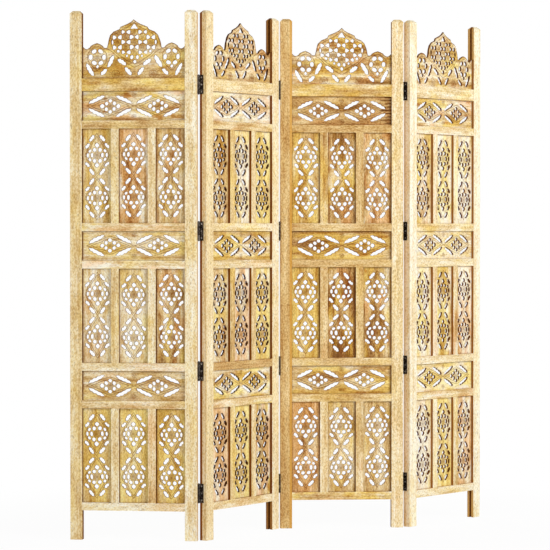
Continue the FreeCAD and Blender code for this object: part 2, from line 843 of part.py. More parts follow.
# The half with the outer knuckles is on the leaf to the left of each joint.
outer_half = make_hinge_half("outer_half", tuple(range(0, knuckle_count, 2)))
inner_half = make_hinge_half("inner_half", tuple(range(1, knuckle_count, 2)))
hinge_pin = make_pin("hinge_pin")
wood_screw = make_screw("wood_screw")
# How a hinge half turns to lie on the right end of a leaf and on the left end.
half_turns = {
    "back": (turned_about, Rotation(Vector(1, 0, 0), 180)),
    "front": (Rotation(Vector(0, 1, 0), 180), unturned),
}
screw_start = Vector(value("Sizes.plate_gap / 2"), value(screw_line), 0)
screw_rise = Vector(0, 0, value("Sizes.screw_spacing"))

for joint, face in enumerate(barrel_faces):
    name = f"hinges_{joint + 1}"
    ends = (Vector(wide + half_gap, pin_depth(face), 0), Vector(-half_gap, pin_depth(face), 0))
    halves = (outer_half, inner_half)
    sides = ("left", "right")
    for end, half, side, turn, leaf in zip(ends, halves, sides, half_turns[face], (joint, joint + 1)):
        seats = []
        for level in hinge_levels:
            seats.append(Placement(end + Vector(0, 0, value(level)), turn))
        add_node(f"{name}_{side}_plates", half, seats, leaf_places[leaf])
        screws = []
        for seat in seats:
            for step in screw_steps:
                offset = Placement(screw_start + screw_rise * step, upright_to_inward)
                screws.append(seat.multiply(offset))
        add_node(f"{name}_{side}_screws", wood_screw, screws, leaf_places[leaf])
        if side == "left":
            upright_seats = [Placement(seat.Base, unturned) for seat in seats]
            add_node(f"{name}_pins", hinge_pin, upright_seats, leaf_places[leaf])

doc.recompute()
failed = [item.Name for item in doc.Objects if "Invalid" in item.State or "Error" in item.State]
for node in nodes:
    if node.Shape.isNull() or not node.Shape.isValid() or not node.Shape.Solids:
        failed.append(node.Label)
if failed:
    raise RuntimeError("failed: " + ", ".join(failed))

os.makedirs("parts", exist_ok=True)
for node in nodes:
    node.Shape.exportStep(f"parts/{node.Label}.step")

solids = sum(len(node.Shape.Solids) for node in nodes)
print(f"{len(nodes)} nodes, {solids} solids, leaf {value(stile_height):.1f} mm high")
for joint, pin in enumerate(pins):
    place = pin - middle
    print(f"joint {joint + 1}: pin at {place.x:.3f}, {place.y:.3f}, fold {abs(folds[joint]):.1f}")
for leaf, place in enumerate(leaf_places):
    print(f"leaf {leaf + 1}: corner {place.Base.x:.3f}, {place.Base.y:.3f}, heading {headings[leaf]:.3f}")
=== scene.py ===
import json
import math

import bmesh
import bpy
import numpy as np
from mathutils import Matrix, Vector, geometry

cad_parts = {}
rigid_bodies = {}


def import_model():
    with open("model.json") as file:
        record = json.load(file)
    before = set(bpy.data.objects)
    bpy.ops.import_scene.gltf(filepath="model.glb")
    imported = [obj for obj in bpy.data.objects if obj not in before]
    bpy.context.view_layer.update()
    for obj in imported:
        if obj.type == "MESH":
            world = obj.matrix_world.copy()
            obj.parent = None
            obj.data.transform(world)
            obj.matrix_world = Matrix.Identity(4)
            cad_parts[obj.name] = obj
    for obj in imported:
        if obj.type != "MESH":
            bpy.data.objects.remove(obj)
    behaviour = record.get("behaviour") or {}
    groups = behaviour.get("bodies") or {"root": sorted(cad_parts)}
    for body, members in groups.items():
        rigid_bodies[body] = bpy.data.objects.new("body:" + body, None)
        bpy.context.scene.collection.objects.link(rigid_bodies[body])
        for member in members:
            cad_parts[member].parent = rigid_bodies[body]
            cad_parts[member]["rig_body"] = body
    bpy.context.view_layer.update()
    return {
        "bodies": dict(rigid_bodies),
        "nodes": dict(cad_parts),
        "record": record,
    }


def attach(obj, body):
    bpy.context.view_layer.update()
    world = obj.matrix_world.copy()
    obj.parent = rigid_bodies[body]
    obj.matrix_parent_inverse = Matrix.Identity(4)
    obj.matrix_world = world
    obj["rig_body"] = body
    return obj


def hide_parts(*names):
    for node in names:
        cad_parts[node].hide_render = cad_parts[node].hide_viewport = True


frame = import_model()
mm = 0.001
handWork = np.random.default_rng(41)  # every draw below comes from here, in order


def addObject(name, data):
    added = bpy.data.objects.new(name, data)
    bpy.context.scene.collection.objects.link(added)
    return added


# Camera where the photograph was taken from: place in metres, heading and tilt in degrees.
cameraLooks = {
    "place": (-3.6947, -7.4151, 0.9647), "heading": 26.01, "tilt": -0.98,
    "lens": 168.8, "sensor": 36.0, "sight": 100.0,
}
cameraData = bpy.data.cameras.new("photoCamera")
cameraData.lens = cameraLooks["lens"]
cameraData.sensor_width = cameraLooks["sensor"]
cameraData.clip_end = cameraLooks["sight"]
camera = addObject("photoCamera", cameraData)
camera.location = cameraLooks["place"]
tilt, heading = math.radians(90 + cameraLooks["tilt"]), math.radians(cameraLooks["heading"])
camera.rotation_euler = (tilt, 0, -heading)
bpy.context.scene.camera = camera
bpy.context.scene.view_settings.view_transform = "Standard"
print("camera set")

# One leaf, in millimetres: along it from the left, into it from the front face, and up.
sizes = {
    "width": 400.0, "thickness": 25.0, "height": 1650.0,
    "stileWidth": 38.0, "stileCut": 8.0,
    "railHeight": 25.0, "topRailHeight": 39.0, "muntinWidth": 25.0, "barSetback": 0.5,
    "legHeight": 92.0, "panelHeight": 294.0, "friezeHeight": 92.0,
    "crestHeight": 181.0, "hornHeight": 101.0,
    "boardThickness": 7.0, "grooveWidth": 7.4, "grooveDepth": 7.0, "tongue": 6.6,
}
innerWidth = sizes["width"] - 2 * sizes["stileWidth"]
panelWidth = (innerWidth - 2 * sizes["muntinWidth"]) / 3
panelPitch = panelWidth + sizes["muntinWidth"]
tierStep = sizes["panelHeight"] + sizes["friezeHeight"] + 2 * sizes["railHeight"]
tierFloors = [sizes["legHeight"] + sizes["railHeight"] + tier * tierStep for tier in range(3)]
friezeFloors = [floor + sizes["panelHeight"] + sizes["railHeight"] for floor in tierFloors]
topRailFloor = friezeFloors[-1] + sizes["friezeHeight"]
crestFloor = topRailFloor + sizes["topRailHeight"]
hornTop = crestFloor + sizes["hornHeight"]
railFloors = [floor + sizes["panelHeight"] for floor in tierFloors]
railFloors = sorted(railFloors + [floor + sizes["friezeHeight"] for floor in friezeFloors[:-1]])
grooveFront = (sizes["thickness"] - sizes["grooveWidth"]) / 2
grooveBack = (sizes["thickness"] + sizes["grooveWidth"]) / 2
boardFront = (sizes["thickness"] - sizes["boardThickness"]) / 2
boardBack = (sizes["thickness"] + sizes["boardThickness"]) / 2

# Each leaf's corner and directions in the shared frame come from its two feet.
feet = {mount["name"]: np.array(mount["pos_m"]) for mount in frame["record"]["mounts"]}
leafNames = sorted(frame["bodies"])
leafFrames = {}
for leaf in leafNames:
    leftFoot, rightFoot = feet[f"{leaf}_left_foot"], feet[f"{leaf}_right_foot"]
    along = (rightFoot - leftFoot) / np.linalg.norm(rightFoot - leftFoot)
    inward = np.array([-along[1], along[0], 0.0])
    corner = leftFoot - along * sizes["stileWidth"] / 2 * mm - inward * sizes["thickness"] / 2 * mm
    leafFrames[leaf] = corner, np.stack([along, inward, [0.0, 0.0, 1.0]])


# One entry for each leaf, in their order.
def byLeaf(*entries):
    return dict(zip(leafNames, entries))


# Leaf millimetres to metres in the shared frame.
def standing(leaf, points):
    corner, directions = leafFrames[leaf]
    return corner + points * mm @ directions


# A plank's directions are along the grain, across it and through the plank. The middle of the
# tree lies at a random place within these reaches, in metres.
grainOrders = {"up": (2, 0, 1), "along": (0, 2, 1)}
pithReaches = ((0, 40), (-0.09, 0.09), (0.015, 0.13))


# Each vertex's place in the plank that its piece was sawn from, measured from the middle of the
# tree, then the piece's lightness, hue and figure, each drawn from a middle and a spread.
def sawn(points, grainAxis, tones):
    places = (points - points.mean(0))[:, grainOrders[grainAxis]] * mm
    pith = np.array([handWork.uniform(low, high) for low, high in pithReaches])
    tone = np.clip([handWork.normal(middle, spread) for middle, spread in tones], 0, 1)
    return np.column_stack([places + pith, np.tile(tone, (len(points), 1))])


# Builds a mesh from vertices and arrays of faces that have one row per face. The layers lie
# on the vertices, and the stain and painted shade lie on the faces.
def meshOf(name, points, faceSets, layers, stainAndShade):
    mesh = bpy.data.meshes.new(name)
    corners = np.concatenate([faces.ravel() for faces in faceSets])
    counts = np.concatenate([np.full(len(faces), faces.shape[1]) for faces in faceSets])
    mesh.vertices.add(len(points))
    mesh.vertices.foreach_set("co", points.astype(np.float32).ravel())
    mesh.loops.add(len(corners))
    mesh.loops.foreach_set("vertex_index", corners.astype(np.int32))
    mesh.polygons.add(len(counts))
    mesh.polygons.foreach_set("loop_start", (np.cumsum(counts) - counts).astype(np.int32))
    mesh.update(calc_edges=True)
    for layer, values in layers.items():
        kind, field = ("FLOAT_VECTOR", "vector") if values.ndim == 2 else ("FLOAT", "value")
        data = mesh.attributes.new(layer, kind, "POINT").data
        data.foreach_set(field, values.astype(np.float32).ravel())
    data = mesh.attributes.new("stainAndShade", "FLOAT", "FACE").data
    data.foreach_set("value", stainAndShade.astype(np.float32))
    return mesh


# A piece stands for its CAD node, rides on that node's leaf and takes its finish from the slot.
def addPiece(node, mesh, material):
    piece = addObject(f"{node}_dressed", mesh)
    mesh.materials.append(material)
    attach(piece, frame["nodes"][node]["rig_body"])
    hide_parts(node)
    return piece


def srgb(red, green, blue):
    channels = np.array([red, green, blue]) / 255
    linear = np.where(channels <= 0.04045, channels / 12.92, ((channels + 0.055) / 1.055) ** 2.4)
    return (*linear, 1.0)


def addNode(tree, kind, inputs=None, **settings):
    node = tree.nodes.new(kind)
    for key, setting in settings.items():
        setattr(node, key, setting)
    for key, source in (inputs or {}).items():
        if isinstance(source, bpy.types.NodeSocket):
            tree.links.new(source, node.inputs[key])
        else:
            node.inputs[key].default_value = source
    return node


def newMaterial(name):
    material = bpy.data.materials.new(name)
    material.use_nodes = True
    material.node_tree.nodes.clear()
    return material, material.node_tree


def addSurface(tree, inputs):
    surface = addNode(tree, "ShaderNodeBsdfPrincipled", inputs)
    addNode(tree, "ShaderNodeOutputMaterial", {"Surface": surface.outputs[0]})


def mixed(tree, factor, first, second, blend="MIX"):
    inputs = {0: factor, 6: first, 7: second}
    return addNode(tree, "ShaderNodeMix", inputs, data_type="RGBA", blend_type=blend).outputs[2]


def ranged(tree, source, low, high, floor=0.0, ceiling=1.0):
    inputs = {0: source, 1: low, 2: high, 3: floor, 4: ceiling}
    return addNode(tree, "ShaderNodeMapRange", inputs, interpolation_type="SMOOTHSTEP").outputs[0]


def maths(tree, operation, first, second):
    return addNode(tree, "ShaderNodeMath", {0: first, 1: second}, operation=operation).outputs[0]


# Waxed mango wood, pale to dark: a ramp read by the piece's own lightness, shifted by rings round
# the tree's middle, by cloudy patches and by fine grain. Golden, rosy and grey parts multiply it.
woodRamp = {
    0.0: srgb(138, 94, 46), 0.22: srgb(185, 141, 82), 0.46: srgb(214, 181, 122),
    0.72: srgb(238, 217, 170), 1.0: srgb(252, 246, 225),
}
woodTints = {  # what each tint leaves of red, green and blue
    "golden": (1.0, 0.90, 0.45, 1), "rosy": (0.97, 0.75, 0.58, 1),
    "grey": (0.74, 0.71, 0.70, 1), "knot": (0.66, 0.40, 0.18, 1),
}
# Colours laid over the grain: carved, amber, sided and dark mostly carry painted shade.
woodColours = {
    "fleck": srgb(128, 84, 44), "pore": srgb(72, 44, 22), "carved": srgb(118, 55, 2),
    "amber": srgb(208, 152, 60), "sided": srgb(118, 58, 10), "dark": srgb(40, 10, 0),
}
# How far each pattern is drawn out: repeats in a metre along the grain, across it and through.
woodGrain = {
    "wobble": (1.7, 8.0, 8.0), "clouds": (7.0, 26.0, 26.0), "mottle": (12.0, 70.0, 70.0),
    "drift": (9.0, 24.0, 24.0), "knots": (17.0, 34.0, 34.0), "streaks": (4.0, 60.0, 60.0),
    "flecks": (95.0, 300.0, 300.0), "specks": (150.0, 240.0, 240.0),
    "pores": (150.0, 1300.0, 1300.0), "fibres": (14.0, 380.0, 380.0),
    "rings": 105.0, "wobbleSize": 0.034,
}
# Between which two values each pattern takes effect, and what those two become.
woodRanges = {
    "rings": (0.25, 0.75, 0.12, -0.14), "clouds": (0.3, 0.7, 0.25, -0.29),
    "mottle": (0.3, 0.7, 0.09, -0.10), "fibres": (0.3, 0.7, 0.06, -0.07),
    "specks": (0.35, 0.7, 0.07, -0.18), "bold": (0.0, 0.6, 0.6, 1.1),
    "drift": (0.3, 0.7, -0.5, 0.5), "golden": (0.0, 0.5, 1.0, 0.0), "rosy": (0.5, 1.0),
    "streaks": (0.45, 0.7), "knots": (0.58, 0.72), "flecks": (0.57, 0.70, 0.0, 0.5),
    "pores": (0.6, 0.72, 0.0, 0.5), "carvedDark": (0.55, 1.0, 0.0, 0.75),
    "amber": (0.0, 0.35, 0.0, 0.85), "sided": (0.3, 0.65, 0.0, 0.9),
    "dark": (0.6, 1.0, 0.0, 0.95), "recess": (0.2, 0.8, 0.0, 0.3), "rough": (0.3, 0.7, 0.44, 0.62),
}
woodShares = {
    "carved": 0.9, "cloudBase": 0.25, "driftBase": 0.15, "fibreHeight": 0.4, "gloss": 0.05,
    "bump": 0.25, "bumpSize": 0.0006,
}


def mangoWood(name):
    material, tree = newMaterial(name)

    def painted(layer, output):
        return addNode(tree, "ShaderNodeAttribute", attribute_name=layer).outputs[output]

    grain, tone = painted("grain", "Vector"), painted("tone", "Vector")
    carvingShadeAndMarks, stainAndShade = painted("carvingShadeAndMarks", "Fac"), painted("stainAndShade", "Fac")
    # A hue of 0 is golden, and one of 1 is rosy.
    light, hue, figure = addNode(tree, "ShaderNodeSeparateXYZ", {0: tone}).outputs

    def stretched(share):
        inputs = {0: grain, 1: share}
        return addNode(tree, "ShaderNodeVectorMath", inputs, operation="MULTIPLY").outputs[0]

    def drawnOut(pattern, detail, rough=0.55):
        place = stretched(woodGrain[pattern])
        inputs = {"Vector": place, "Scale": 1.0, "Detail": detail, "Roughness": rough}
        return addNode(tree, "ShaderNodeTexNoise", inputs).outputs[0]

    def told(source, pattern):
        return ranged(tree, source, *woodRanges[pattern])

    def times(first, second):
        return maths(tree, "MULTIPLY", first, second)

    def plus(first, second):
        return maths(tree, "ADD", first, second)

    def tinted(colour, share, tint):
        return mixed(tree, share, colour, woodTints[tint], "MULTIPLY")

    def covered(colour, share, cover):
        return mixed(tree, share, colour, woodColours[cover])

    inputs = {0: stretched((0, 1, 1))}
    fromPith = addNode(tree, "ShaderNodeVectorMath", inputs, operation="LENGTH").outputs["Value"]
    wobble = times(drawnOut("wobble", 2.0), woodGrain["wobbleSize"])
    ring = times(plus(fromPith, wobble), woodGrain["rings"])
    inputs = {"W": ring, "Scale": 1.0, "Detail": 3.0, "Roughness": 0.62}
    rings = addNode(tree, "ShaderNodeTexNoise", inputs, noise_dimensions="1D").outputs[0]
    fibres = drawnOut("fibres", 3.0, 0.65)

    clouds = told(drawnOut("clouds", 3.0), "clouds")
    cloudShift = times(clouds, plus(figure, woodShares["cloudBase"]))
    mottleShift = told(drawnOut("mottle", 2.0), "mottle")
    speckShift = told(drawnOut("specks", 1.0), "specks")
    grainShift = plus(told(rings, "rings"), plus(mottleShift, told(fibres, "fibres")))
    # Plain pieces have a quieter grain.
    lightness = plus(light, times(told(figure, "bold"), grainShift))
    lightness = plus(lightness, plus(cloudShift, speckShift))
    ramp = addNode(tree, "ShaderNodeValToRGB", {0: lightness})
    stops = ramp.color_ramp.elements
    while len(stops) < len(woodRamp):
        stops.new(0.5)
    for stop, (place, shade) in zip(stops, woodRamp.items()):
        stop.position, stop.color = place, shade
    colour = ramp.outputs[0]
    drift = told(drawnOut("drift", 3.0), "drift")
    hue = plus(hue, times(drift, plus(figure, woodShares["driftBase"])))
    colour = tinted(colour, told(hue, "golden"), "golden")
    colour = tinted(colour, told(hue, "rosy"), "rosy")
    colour = tinted(colour, times(told(drawnOut("streaks", 4.0, 0.6), "streaks"), figure), "grey")
    colour = tinted(colour, times(told(drawnOut("knots", 3.0), "knots"), figure), "knot")
    colour = covered(colour, told(drawnOut("flecks", 2.0), "flecks"), "fleck")
    pored = told(drawnOut("pores", 2.0), "pores")
    colour = covered(colour, pored, "pore")
    # Painted shade from the carving layer in lines, grooves, rims and margins, and torn grain.
    colour = covered(colour, times(carvingShadeAndMarks, woodShares["carved"]), "carved")
    colour = covered(colour, told(carvingShadeAndMarks, "carvedDark"), "dark")
    # Stain layer: painted shade on recess sides, grooves, outer edges and walls, and one real
    # streak.
    for cover in ("amber", "sided", "dark"):
        colour = covered(colour, told(stainAndShade, cover), cover)
    recessed = told(maths(tree, "MAXIMUM", carvingShadeAndMarks, stainAndShade), "recess")  # recesses aren't polished
    rough = plus(told(fibres, "rough"), recessed)
    height = maths(tree, "SUBTRACT", times(fibres, woodShares["fibreHeight"]), pored)
    inputs = {"Height": height, "Strength": woodShares["bump"], "Distance": woodShares["bumpSize"]}
    bump = addNode(tree, "ShaderNodeBump", inputs)
    inputs = {"Base Color": colour, "Roughness": rough, "Normal": bump.outputs[0]}
    addSurface(tree, inputs | {"Specular IOR Level": woodShares["gloss"]})
    return material


frameWood = mangoWood("frameWood")
carvedWood = mangoWood("carvedWood")
print("wood made")

# Bars of the frame. Each is a section carried along stations: at a station the section is
# clipped to a box, which gives the stub tenons and the cut-off tops.
barLooks = {
    "edge": 0.8, "edgeSegments": 2, "merge": 1e-6,
    # Left and right stile of each leaf.
    "stileLight": byLeaf((0.66, 0.91), (0.78, 0.83), (0.45, 0.76), (0.96, 0.90)),
    # On a stile's face, beside the boards.
    "stileStreak": byLeaf((0.0, 0.0), (0.0, 0.0), (0.26, 0.0), (0.0, 0.0)),
    # Painted shade on the outer edge's front strip, middle and back strip.
    # The back strip's painted shade stands for the shadow that the next leaf casts on it.
    "stileEndShade": byLeaf(
        (0.20, 0.14, 0.40), (0.14, 0.08, 0.64), (0.26, 0.20, 0.40), (0.02, 0.08, 0.14),
    ),
    "streakWidth": 8.0, "endStrips": (0.0, 2.0, 16.0),
    "railLight": byLeaf(  # from the bottom rail up
        (0.87, 0.64, 0.77, 0.90, 0.78, 0.56), (0.74, 0.68, 0.44, 0.72, 0.75, 0.60),
        (0.84, 0.55, 0.63, 0.53, 0.54, 0.55), (0.81, 0.68, 0.72, 0.80, 0.82, 0.76),
    ),
    "muntinLight": byLeaf(0.70, 0.68, 0.63, 0.77),
    "stileTones": (0.03, (0.46, 0.03), (0.12, 0.06)),
    "railTones": (0.02, (0.47, 0.06), (0.34, 0.16)),
    "topRailTones": byLeaf(
        (0.54, 0.22, 0.45), (0.76, 0.46, 0.3), (0.57, 0.28, 0.5), (0.76, 0.42, 0.3),
    ),
    "topRailSpread": 0.03,
    "muntinTones": (0.07, (0.42, 0.10), (0.26, 0.16)),
    # Painted shade on edges that face a board, and in their grooves.
    "sideShade": byLeaf((0.74, 1.0), (0.70, 1.0), (0.74, 1.0), (0.55, 0.9)),
    # How much of that is on the legs and above the crest.
    "freeShare": byLeaf(0.8, 0.78, 0.8, 0.70),
    "railSideShare": 0.75,
}
farOff = 1e6


# Painted shade on a bar's faces, by the edges of its section: none on faces that lie on the
# section's front, back or outer side, side shade on edges beside a board, full in the grooves.
def sectionShade(section, bare, sided):
    low, high = section.min(0), section.max(0)
    following = np.roll(section, -1, axis=0)
    # Whether an edge lies on a side of the section: by side, edge and axis.
    on = np.stack([(section == side) & (following == side) for side in (low, high)])
    stainAndShade = np.where(on.any((0, 2)), sided, 1.0)
    for side, axis in bare:
        stainAndShade[on[side, :, axis]] = 0.0
    return stainAndShade


def carriedBar(section, stations, edgeStainAndShade):
    rings = np.stack([np.clip(section, low, high) for reach, low, high in stations])
    reaches = np.repeat([station[0] for station in stations], len(section))
    points = np.column_stack([rings.reshape(-1, 2), reaches])
    corner = np.arange(len(points)).reshape(len(stations), -1)
    beside = np.roll(corner, -1, axis=1)
    sides = np.stack([corner[:-1], beside[:-1], beside[1:], corner[1:]], -1).reshape(-1, 4)
    spans = np.broadcast_to(edgeStainAndShade, (len(stations) - 1, len(section)))
    stainAndShade = np.concatenate([spans.ravel(), [0.0, 0.0]])
    return points, [sides, corner[:1, ::-1], corner[-1:]], stainAndShade


# Joins bars into one mesh, merges the points that clipping brought together and softens edges.
def barPiece(node, leaf, bars, tones, grainAxis):
    points, faceSets, rows, stainsAndShade = [], [], [], []
    count = 0
    for (barPoints, barFaces, barStainAndShade), barTones in zip(bars, tones):
        points.append(barPoints)
        faceSets += [faces + count for faces in barFaces]
        count += len(barPoints)
        rows.append(sawn(barPoints, grainAxis, barTones))
        stainsAndShade.append(barStainAndShade)
    points, rows = np.concatenate(points), np.concatenate(rows)
    layers = {"grain": rows[:, :3], "tone": rows[:, 3:], "carvingShadeAndMarks": np.zeros(count)}
    mesh = meshOf(node, standing(leaf, points), faceSets, layers, np.concatenate(stainsAndShade))
    shape = bmesh.new()
    shape.from_mesh(mesh)
    bmesh.ops.remove_doubles(shape, verts=shape.verts, dist=barLooks["merge"])
    bmesh.ops.recalc_face_normals(shape, faces=shape.faces)
    shape.to_mesh(mesh)
    shape.free()
    mesh.shade_smooth()
    piece = addPiece(node, mesh, frameWood)
    edge = piece.modifiers.new("softEdges", "BEVEL")
    edge.width = barLooks["edge"] * mm
    edge.segments = barLooks["edgeSegments"]
    edge.limit_method = "ANGLE"
    edge.harden_normals = True


# A stile's section is (across, in). It starts at the outer edge, and each of its corners holds
# the darkening of the side that follows, a streak's stain on the face and painted shade elsewhere.
def stileSection(turned, sided, grooved, streak, ends):
    wide, thick = sizes["stileWidth"], sizes["thickness"]
    floor, strip = wide - sizes["grooveDepth"], wide - barLooks["streakWidth"]
    marks = barLooks["endStrips"]
    plainFace, streakedFace = [(0, 0, 0)], [(0, 0, 0), (strip, 0, streak)]
    if turned:
        faces = plainFace, [(wide, thick, streak), (strip, thick, 0)]
        outer = [(0, thick - mark, end) for mark, end in zip(marks, ends)]
    else:
        faces = streakedFace, [(wide, thick, 0)]
        outer = [(0, mark, end) for mark, end in zip((thick, *marks[:0:-1]), ends[::-1])]
    inner = [(wide, 0, sided), (wide, grooveFront, grooved), (floor, grooveFront, grooved)]
    inner += [(floor, grooveBack, grooved), (wide, grooveBack, sided)]
    rows = np.array(faces[0] + inner + faces[1] + outer, float)
    return rows[:, :2], rows[:, 2]


# A rail's section is (in, up), and a muntin's is (in, across).
def railSection(height, lowerGroove):
    deep = sizes["grooveDepth"]
    groove = [(grooveFront, 0), (grooveFront, deep), (grooveBack, deep), (grooveBack, 0)]
    below = groove if lowerGroove else []
    above = [(into, height - up) for into, up in groove[::-1]]
    front, back = sizes["barSetback"], sizes["thickness"] - sizes["barSetback"]
    return np.array([(front, 0)] + below + [(back, 0), (back, height)] + above + [(front, height)])


def tenonedStations(length, low, high):
    free = (-farOff, farOff)
    ends = [(-sizes["tongue"], low, high), (0, low, high), (0, *free), (length, *free)]
    return ends + [(length, low, high), (length + sizes["tongue"], low, high)]


# A rail or a muntin: the section's sides and its run are put in the leaf's order of axes.
barAxes = {"along": (2, 0, 1), "up": (1, 0, 2)}


def tenonedBar(height, length, grainAxis, place, sided, lowerGroove=True):
    deep = sizes["grooveDepth"]
    low = np.array([boardFront, deep if lowerGroove else 0])
    high = np.array([boardBack, height - deep])
    section = railSection(height, lowerGroove)
    bare = [(0, 0), (1, 0)] + ([] if lowerGroove else [(0, 1)])  # front, back and underside
    edgeStainAndShade = sectionShade(section, bare, sided)
    points, faces, stainAndShade = carriedBar(section, tenonedStations(length, low, high), edgeStainAndShade)
    return points[:, barAxes[grainAxis]] + place, faces, stainAndShade


def railBar(height, floor, sided, lowerGroove=True):
    place = [sizes["stileWidth"], 0, floor]
    return tenonedBar(height, innerWidth, "along", place, sided, lowerGroove)


def muntinBar(left, floor, sided):
    place = [left, 0, floor]
    return tenonedBar(sizes["muntinWidth"], sizes["panelHeight"], "up", place, sided)


# Less painted shade on the legs and the tops of the stiles, where no board is.
def stileBar(turned, sided, free, streak, ends):
    cut, top = sizes["stileCut"], sizes["height"]
    wide, thick = sizes["stileWidth"], sizes["thickness"]
    stations = [(reach, -farOff, farOff) for reach in (0, sizes["legHeight"], hornTop)]
    for back in (0, sizes["grooveDepth"], cut):
        low, high = np.array([back, back]), np.array([wide - back, thick - back])
        stations.append((top - cut + back, low, high))
    section, besideShade = stileSection(turned, *sided, streak, ends)
    freeShade = stileSection(turned, *free, streak, ends)[1]
    stainsAndShade = [freeShade, besideShade, freeShade, freeShade, freeShade]
    points, faces, stainAndShade = carriedBar(section, stations, stainsAndShade)
    if turned:
        points = points * [-1, -1, 1] + [sizes["width"], thick, 0]
    return points, faces, stainAndShade


def tonesOf(lights, kind):
    spread, *others = barLooks[kind]
    return [((light, spread), *others) for light in lights]


muntinLefts = [sizes["stileWidth"] + panelWidth + index * panelPitch for index in range(2)]
for leaf in leafNames:
    # Painted shade beside the boards and in the grooves, less of it on the free parts.
    besides = np.array(barLooks["sideShade"][leaf])
    sided, free = besides[0], besides * barLooks["freeShare"][leaf]
    railSided = sided * barLooks["railSideShare"]
    lights, streaks = barLooks["stileLight"][leaf], barLooks["stileStreak"][leaf]
    for side, turned, light, streak in zip(("left", "right"), (False, True), lights, streaks):
        bar = stileBar(turned, besides, free, streak, barLooks["stileEndShade"][leaf])
        barPiece(f"{leaf}_{side}_stile", leaf, [bar], tonesOf([light], "stileTones"), "up")
    railTones = tonesOf(barLooks["railLight"][leaf], "railTones")
    low = [railBar(sizes["railHeight"], sizes["legHeight"], railSided, False)]
    barPiece(f"{leaf}_bottom_rail", leaf, low, railTones[:1], "along")
    middle = [railBar(sizes["railHeight"], floor, railSided) for floor in railFloors]
    barPiece(f"{leaf}_middle_rails", leaf, middle, railTones[1:], "along")
    top = [railBar(sizes["topRailHeight"], topRailFloor, railSided)]
    topTones = [(tone, barLooks["topRailSpread"]) for tone in barLooks["topRailTones"][leaf]]
    barPiece(f"{leaf}_top_rail", leaf, top, [topTones], "along")
    uprights = [muntinBar(left, floor, sided) for floor in tierFloors for left in muntinLefts]
    muntinTones = tonesOf([barLooks["muntinLight"][leaf]] * len(uprights), "muntinTones")
    barPiece(f"{leaf}_muntins", leaf, uprights, muntinTones, "up")
print("frames made")

# Carved boards. A board is a flat sheet cut along its rims and triangulated between its carved
# lines, and its depth at each point comes from the distance to those lines.
carving = {
    "rimStep": 1.2, "rimBevel": 1.6, "rimDepth": 1.0,
    "lineStep": 1.4, "lineWidth": 1.5, "lineDepth": 1.2,
    "fillStep": 4.0, "edgeStep": 8.0, "frameStep": 3.0, "frameGaps": (0.2, 2.4),
    "insetShare": 0.8, "freeShare": 0.6, "fillShare": 0.55, "edgeGap": 0.4, "weld": 1e-6,
    "rimSamples": 180, "slotSamples": 160, "strapSamples": 200, "lobeSwell": 0.13,
    "petalLine": 1.0, "petalDepth": 1.2, "domeFall": 1.0, "buttonShare": 0.34,
    "rosetteRings": (0.17, 0.25, 0.32, 0.39, 0.56, 0.75, 0.92, 1.0, 1.08), "lipShare": 0.3,
    "patternShift": 1.2, "shiftLimit": 2.0, "patternWarp": 0.5, "holeWarp": 0.4,
    "waves": ((23, 21), (17, 29)), "ripples": ((5.3, 6.1), (6.7, 5.9)), "sharpAngle": 38.0,
    # Painted shade in the carved lines and petal grooves; the button's darkening is its own
    # colour.
    "lineShade": 0.8, "petalShade": 0.6, "buttonStain": 0.3,
    # Painted shade, with some dirt, on the holes' walls.
    "wallShade": byLeaf(0.80, 0.90, 0.78, 0.74),
    # Painted shade with some dirt at the holes' rims, and how far it reaches.
    "rimShade": byLeaf((0.95, 1.6), (1.9, 1.85), (1.15, 1.6), (1.4, 1.7)),
    "torn": {
        "board": ("leaf_3_friezes", 2), "reach": 25.0, "ragged": 9.0, "fade": 9.0, "stainAndShade": 0.95,
        "streaks": (1.7, 5.1), "streakShares": (0.65, 0.35),
    },
    "frameShade": byLeaf(  # painted shade and reach along the left, bottom, right and top of a board, by the frame
        ((1.0, 4.4), (0.4, 2.4), (0.3, 2.4), (0.6, 2.6)),
        ((0.4, 2.4), (0.4, 2.4), (0.6, 3.0), (0.7, 2.6)),
        ((0.5, 2.4), (0.5, 2.6), (0.8, 6.0), (0.6, 3.0)),
        ((0.4, 2.4), (0.4, 2.4), (0.6, 3.0), (0.8, 2.8)),
    ),
    "boardLight": byLeaf(0.71, 0.91, 0.56, 0.95),
    "planks": {  # each kind's own lightness, hue and figure
        "golden": (0.0, 0.10, 0.40), "rosy": (-0.05, 0.82, 0.60), "grey": (-0.10, 0.48, 0.95),
        "plain": (0.03, 0.44, 0.40), "ashen": (-0.07, 0.52, 0.50), "honey": (-0.08, 0.14, 0.75),
        "tawny": (-0.26, 0.40, 0.60), "pale": (0.09, 0.34, 0.45), "umber": (-0.18, 0.50, 0.55),
        "ochre": (-0.16, 0.22, 0.60), "straw": (0.02, 0.25, 0.40), "coral": (0.07, 0.95, 0.50),
        "smoky": (-0.22, 0.48, 0.95), "silver": (0.04, 0.50, 1.0), "mauve": (0.03, 0.68, 0.85),
    },
    "plankSpread": 0.04,
    "boards": {  # kind of plank of each board from the left, or of each frieze from below
        "lower": byLeaf(
            "golden golden golden", "rosy golden grey", "coral pale pale", "plain golden rosy",
        ),
        "middle": byLeaf(
            "plain plain grey", "umber rosy golden", "golden smoky grey", "pale honey rosy",
        ),
        "upper": byLeaf(
            "straw rosy umber", "tawny straw golden", "straw smoky mauve", "tawny straw plain",
        ),
        "friezes": byLeaf(
            "ashen plain silver", "honey ochre ashen", "pale ochre ashen", "straw straw smoky",
        ),
        "crest": byLeaf("ochre", "umber", "silver", "tawny"),
    },
}


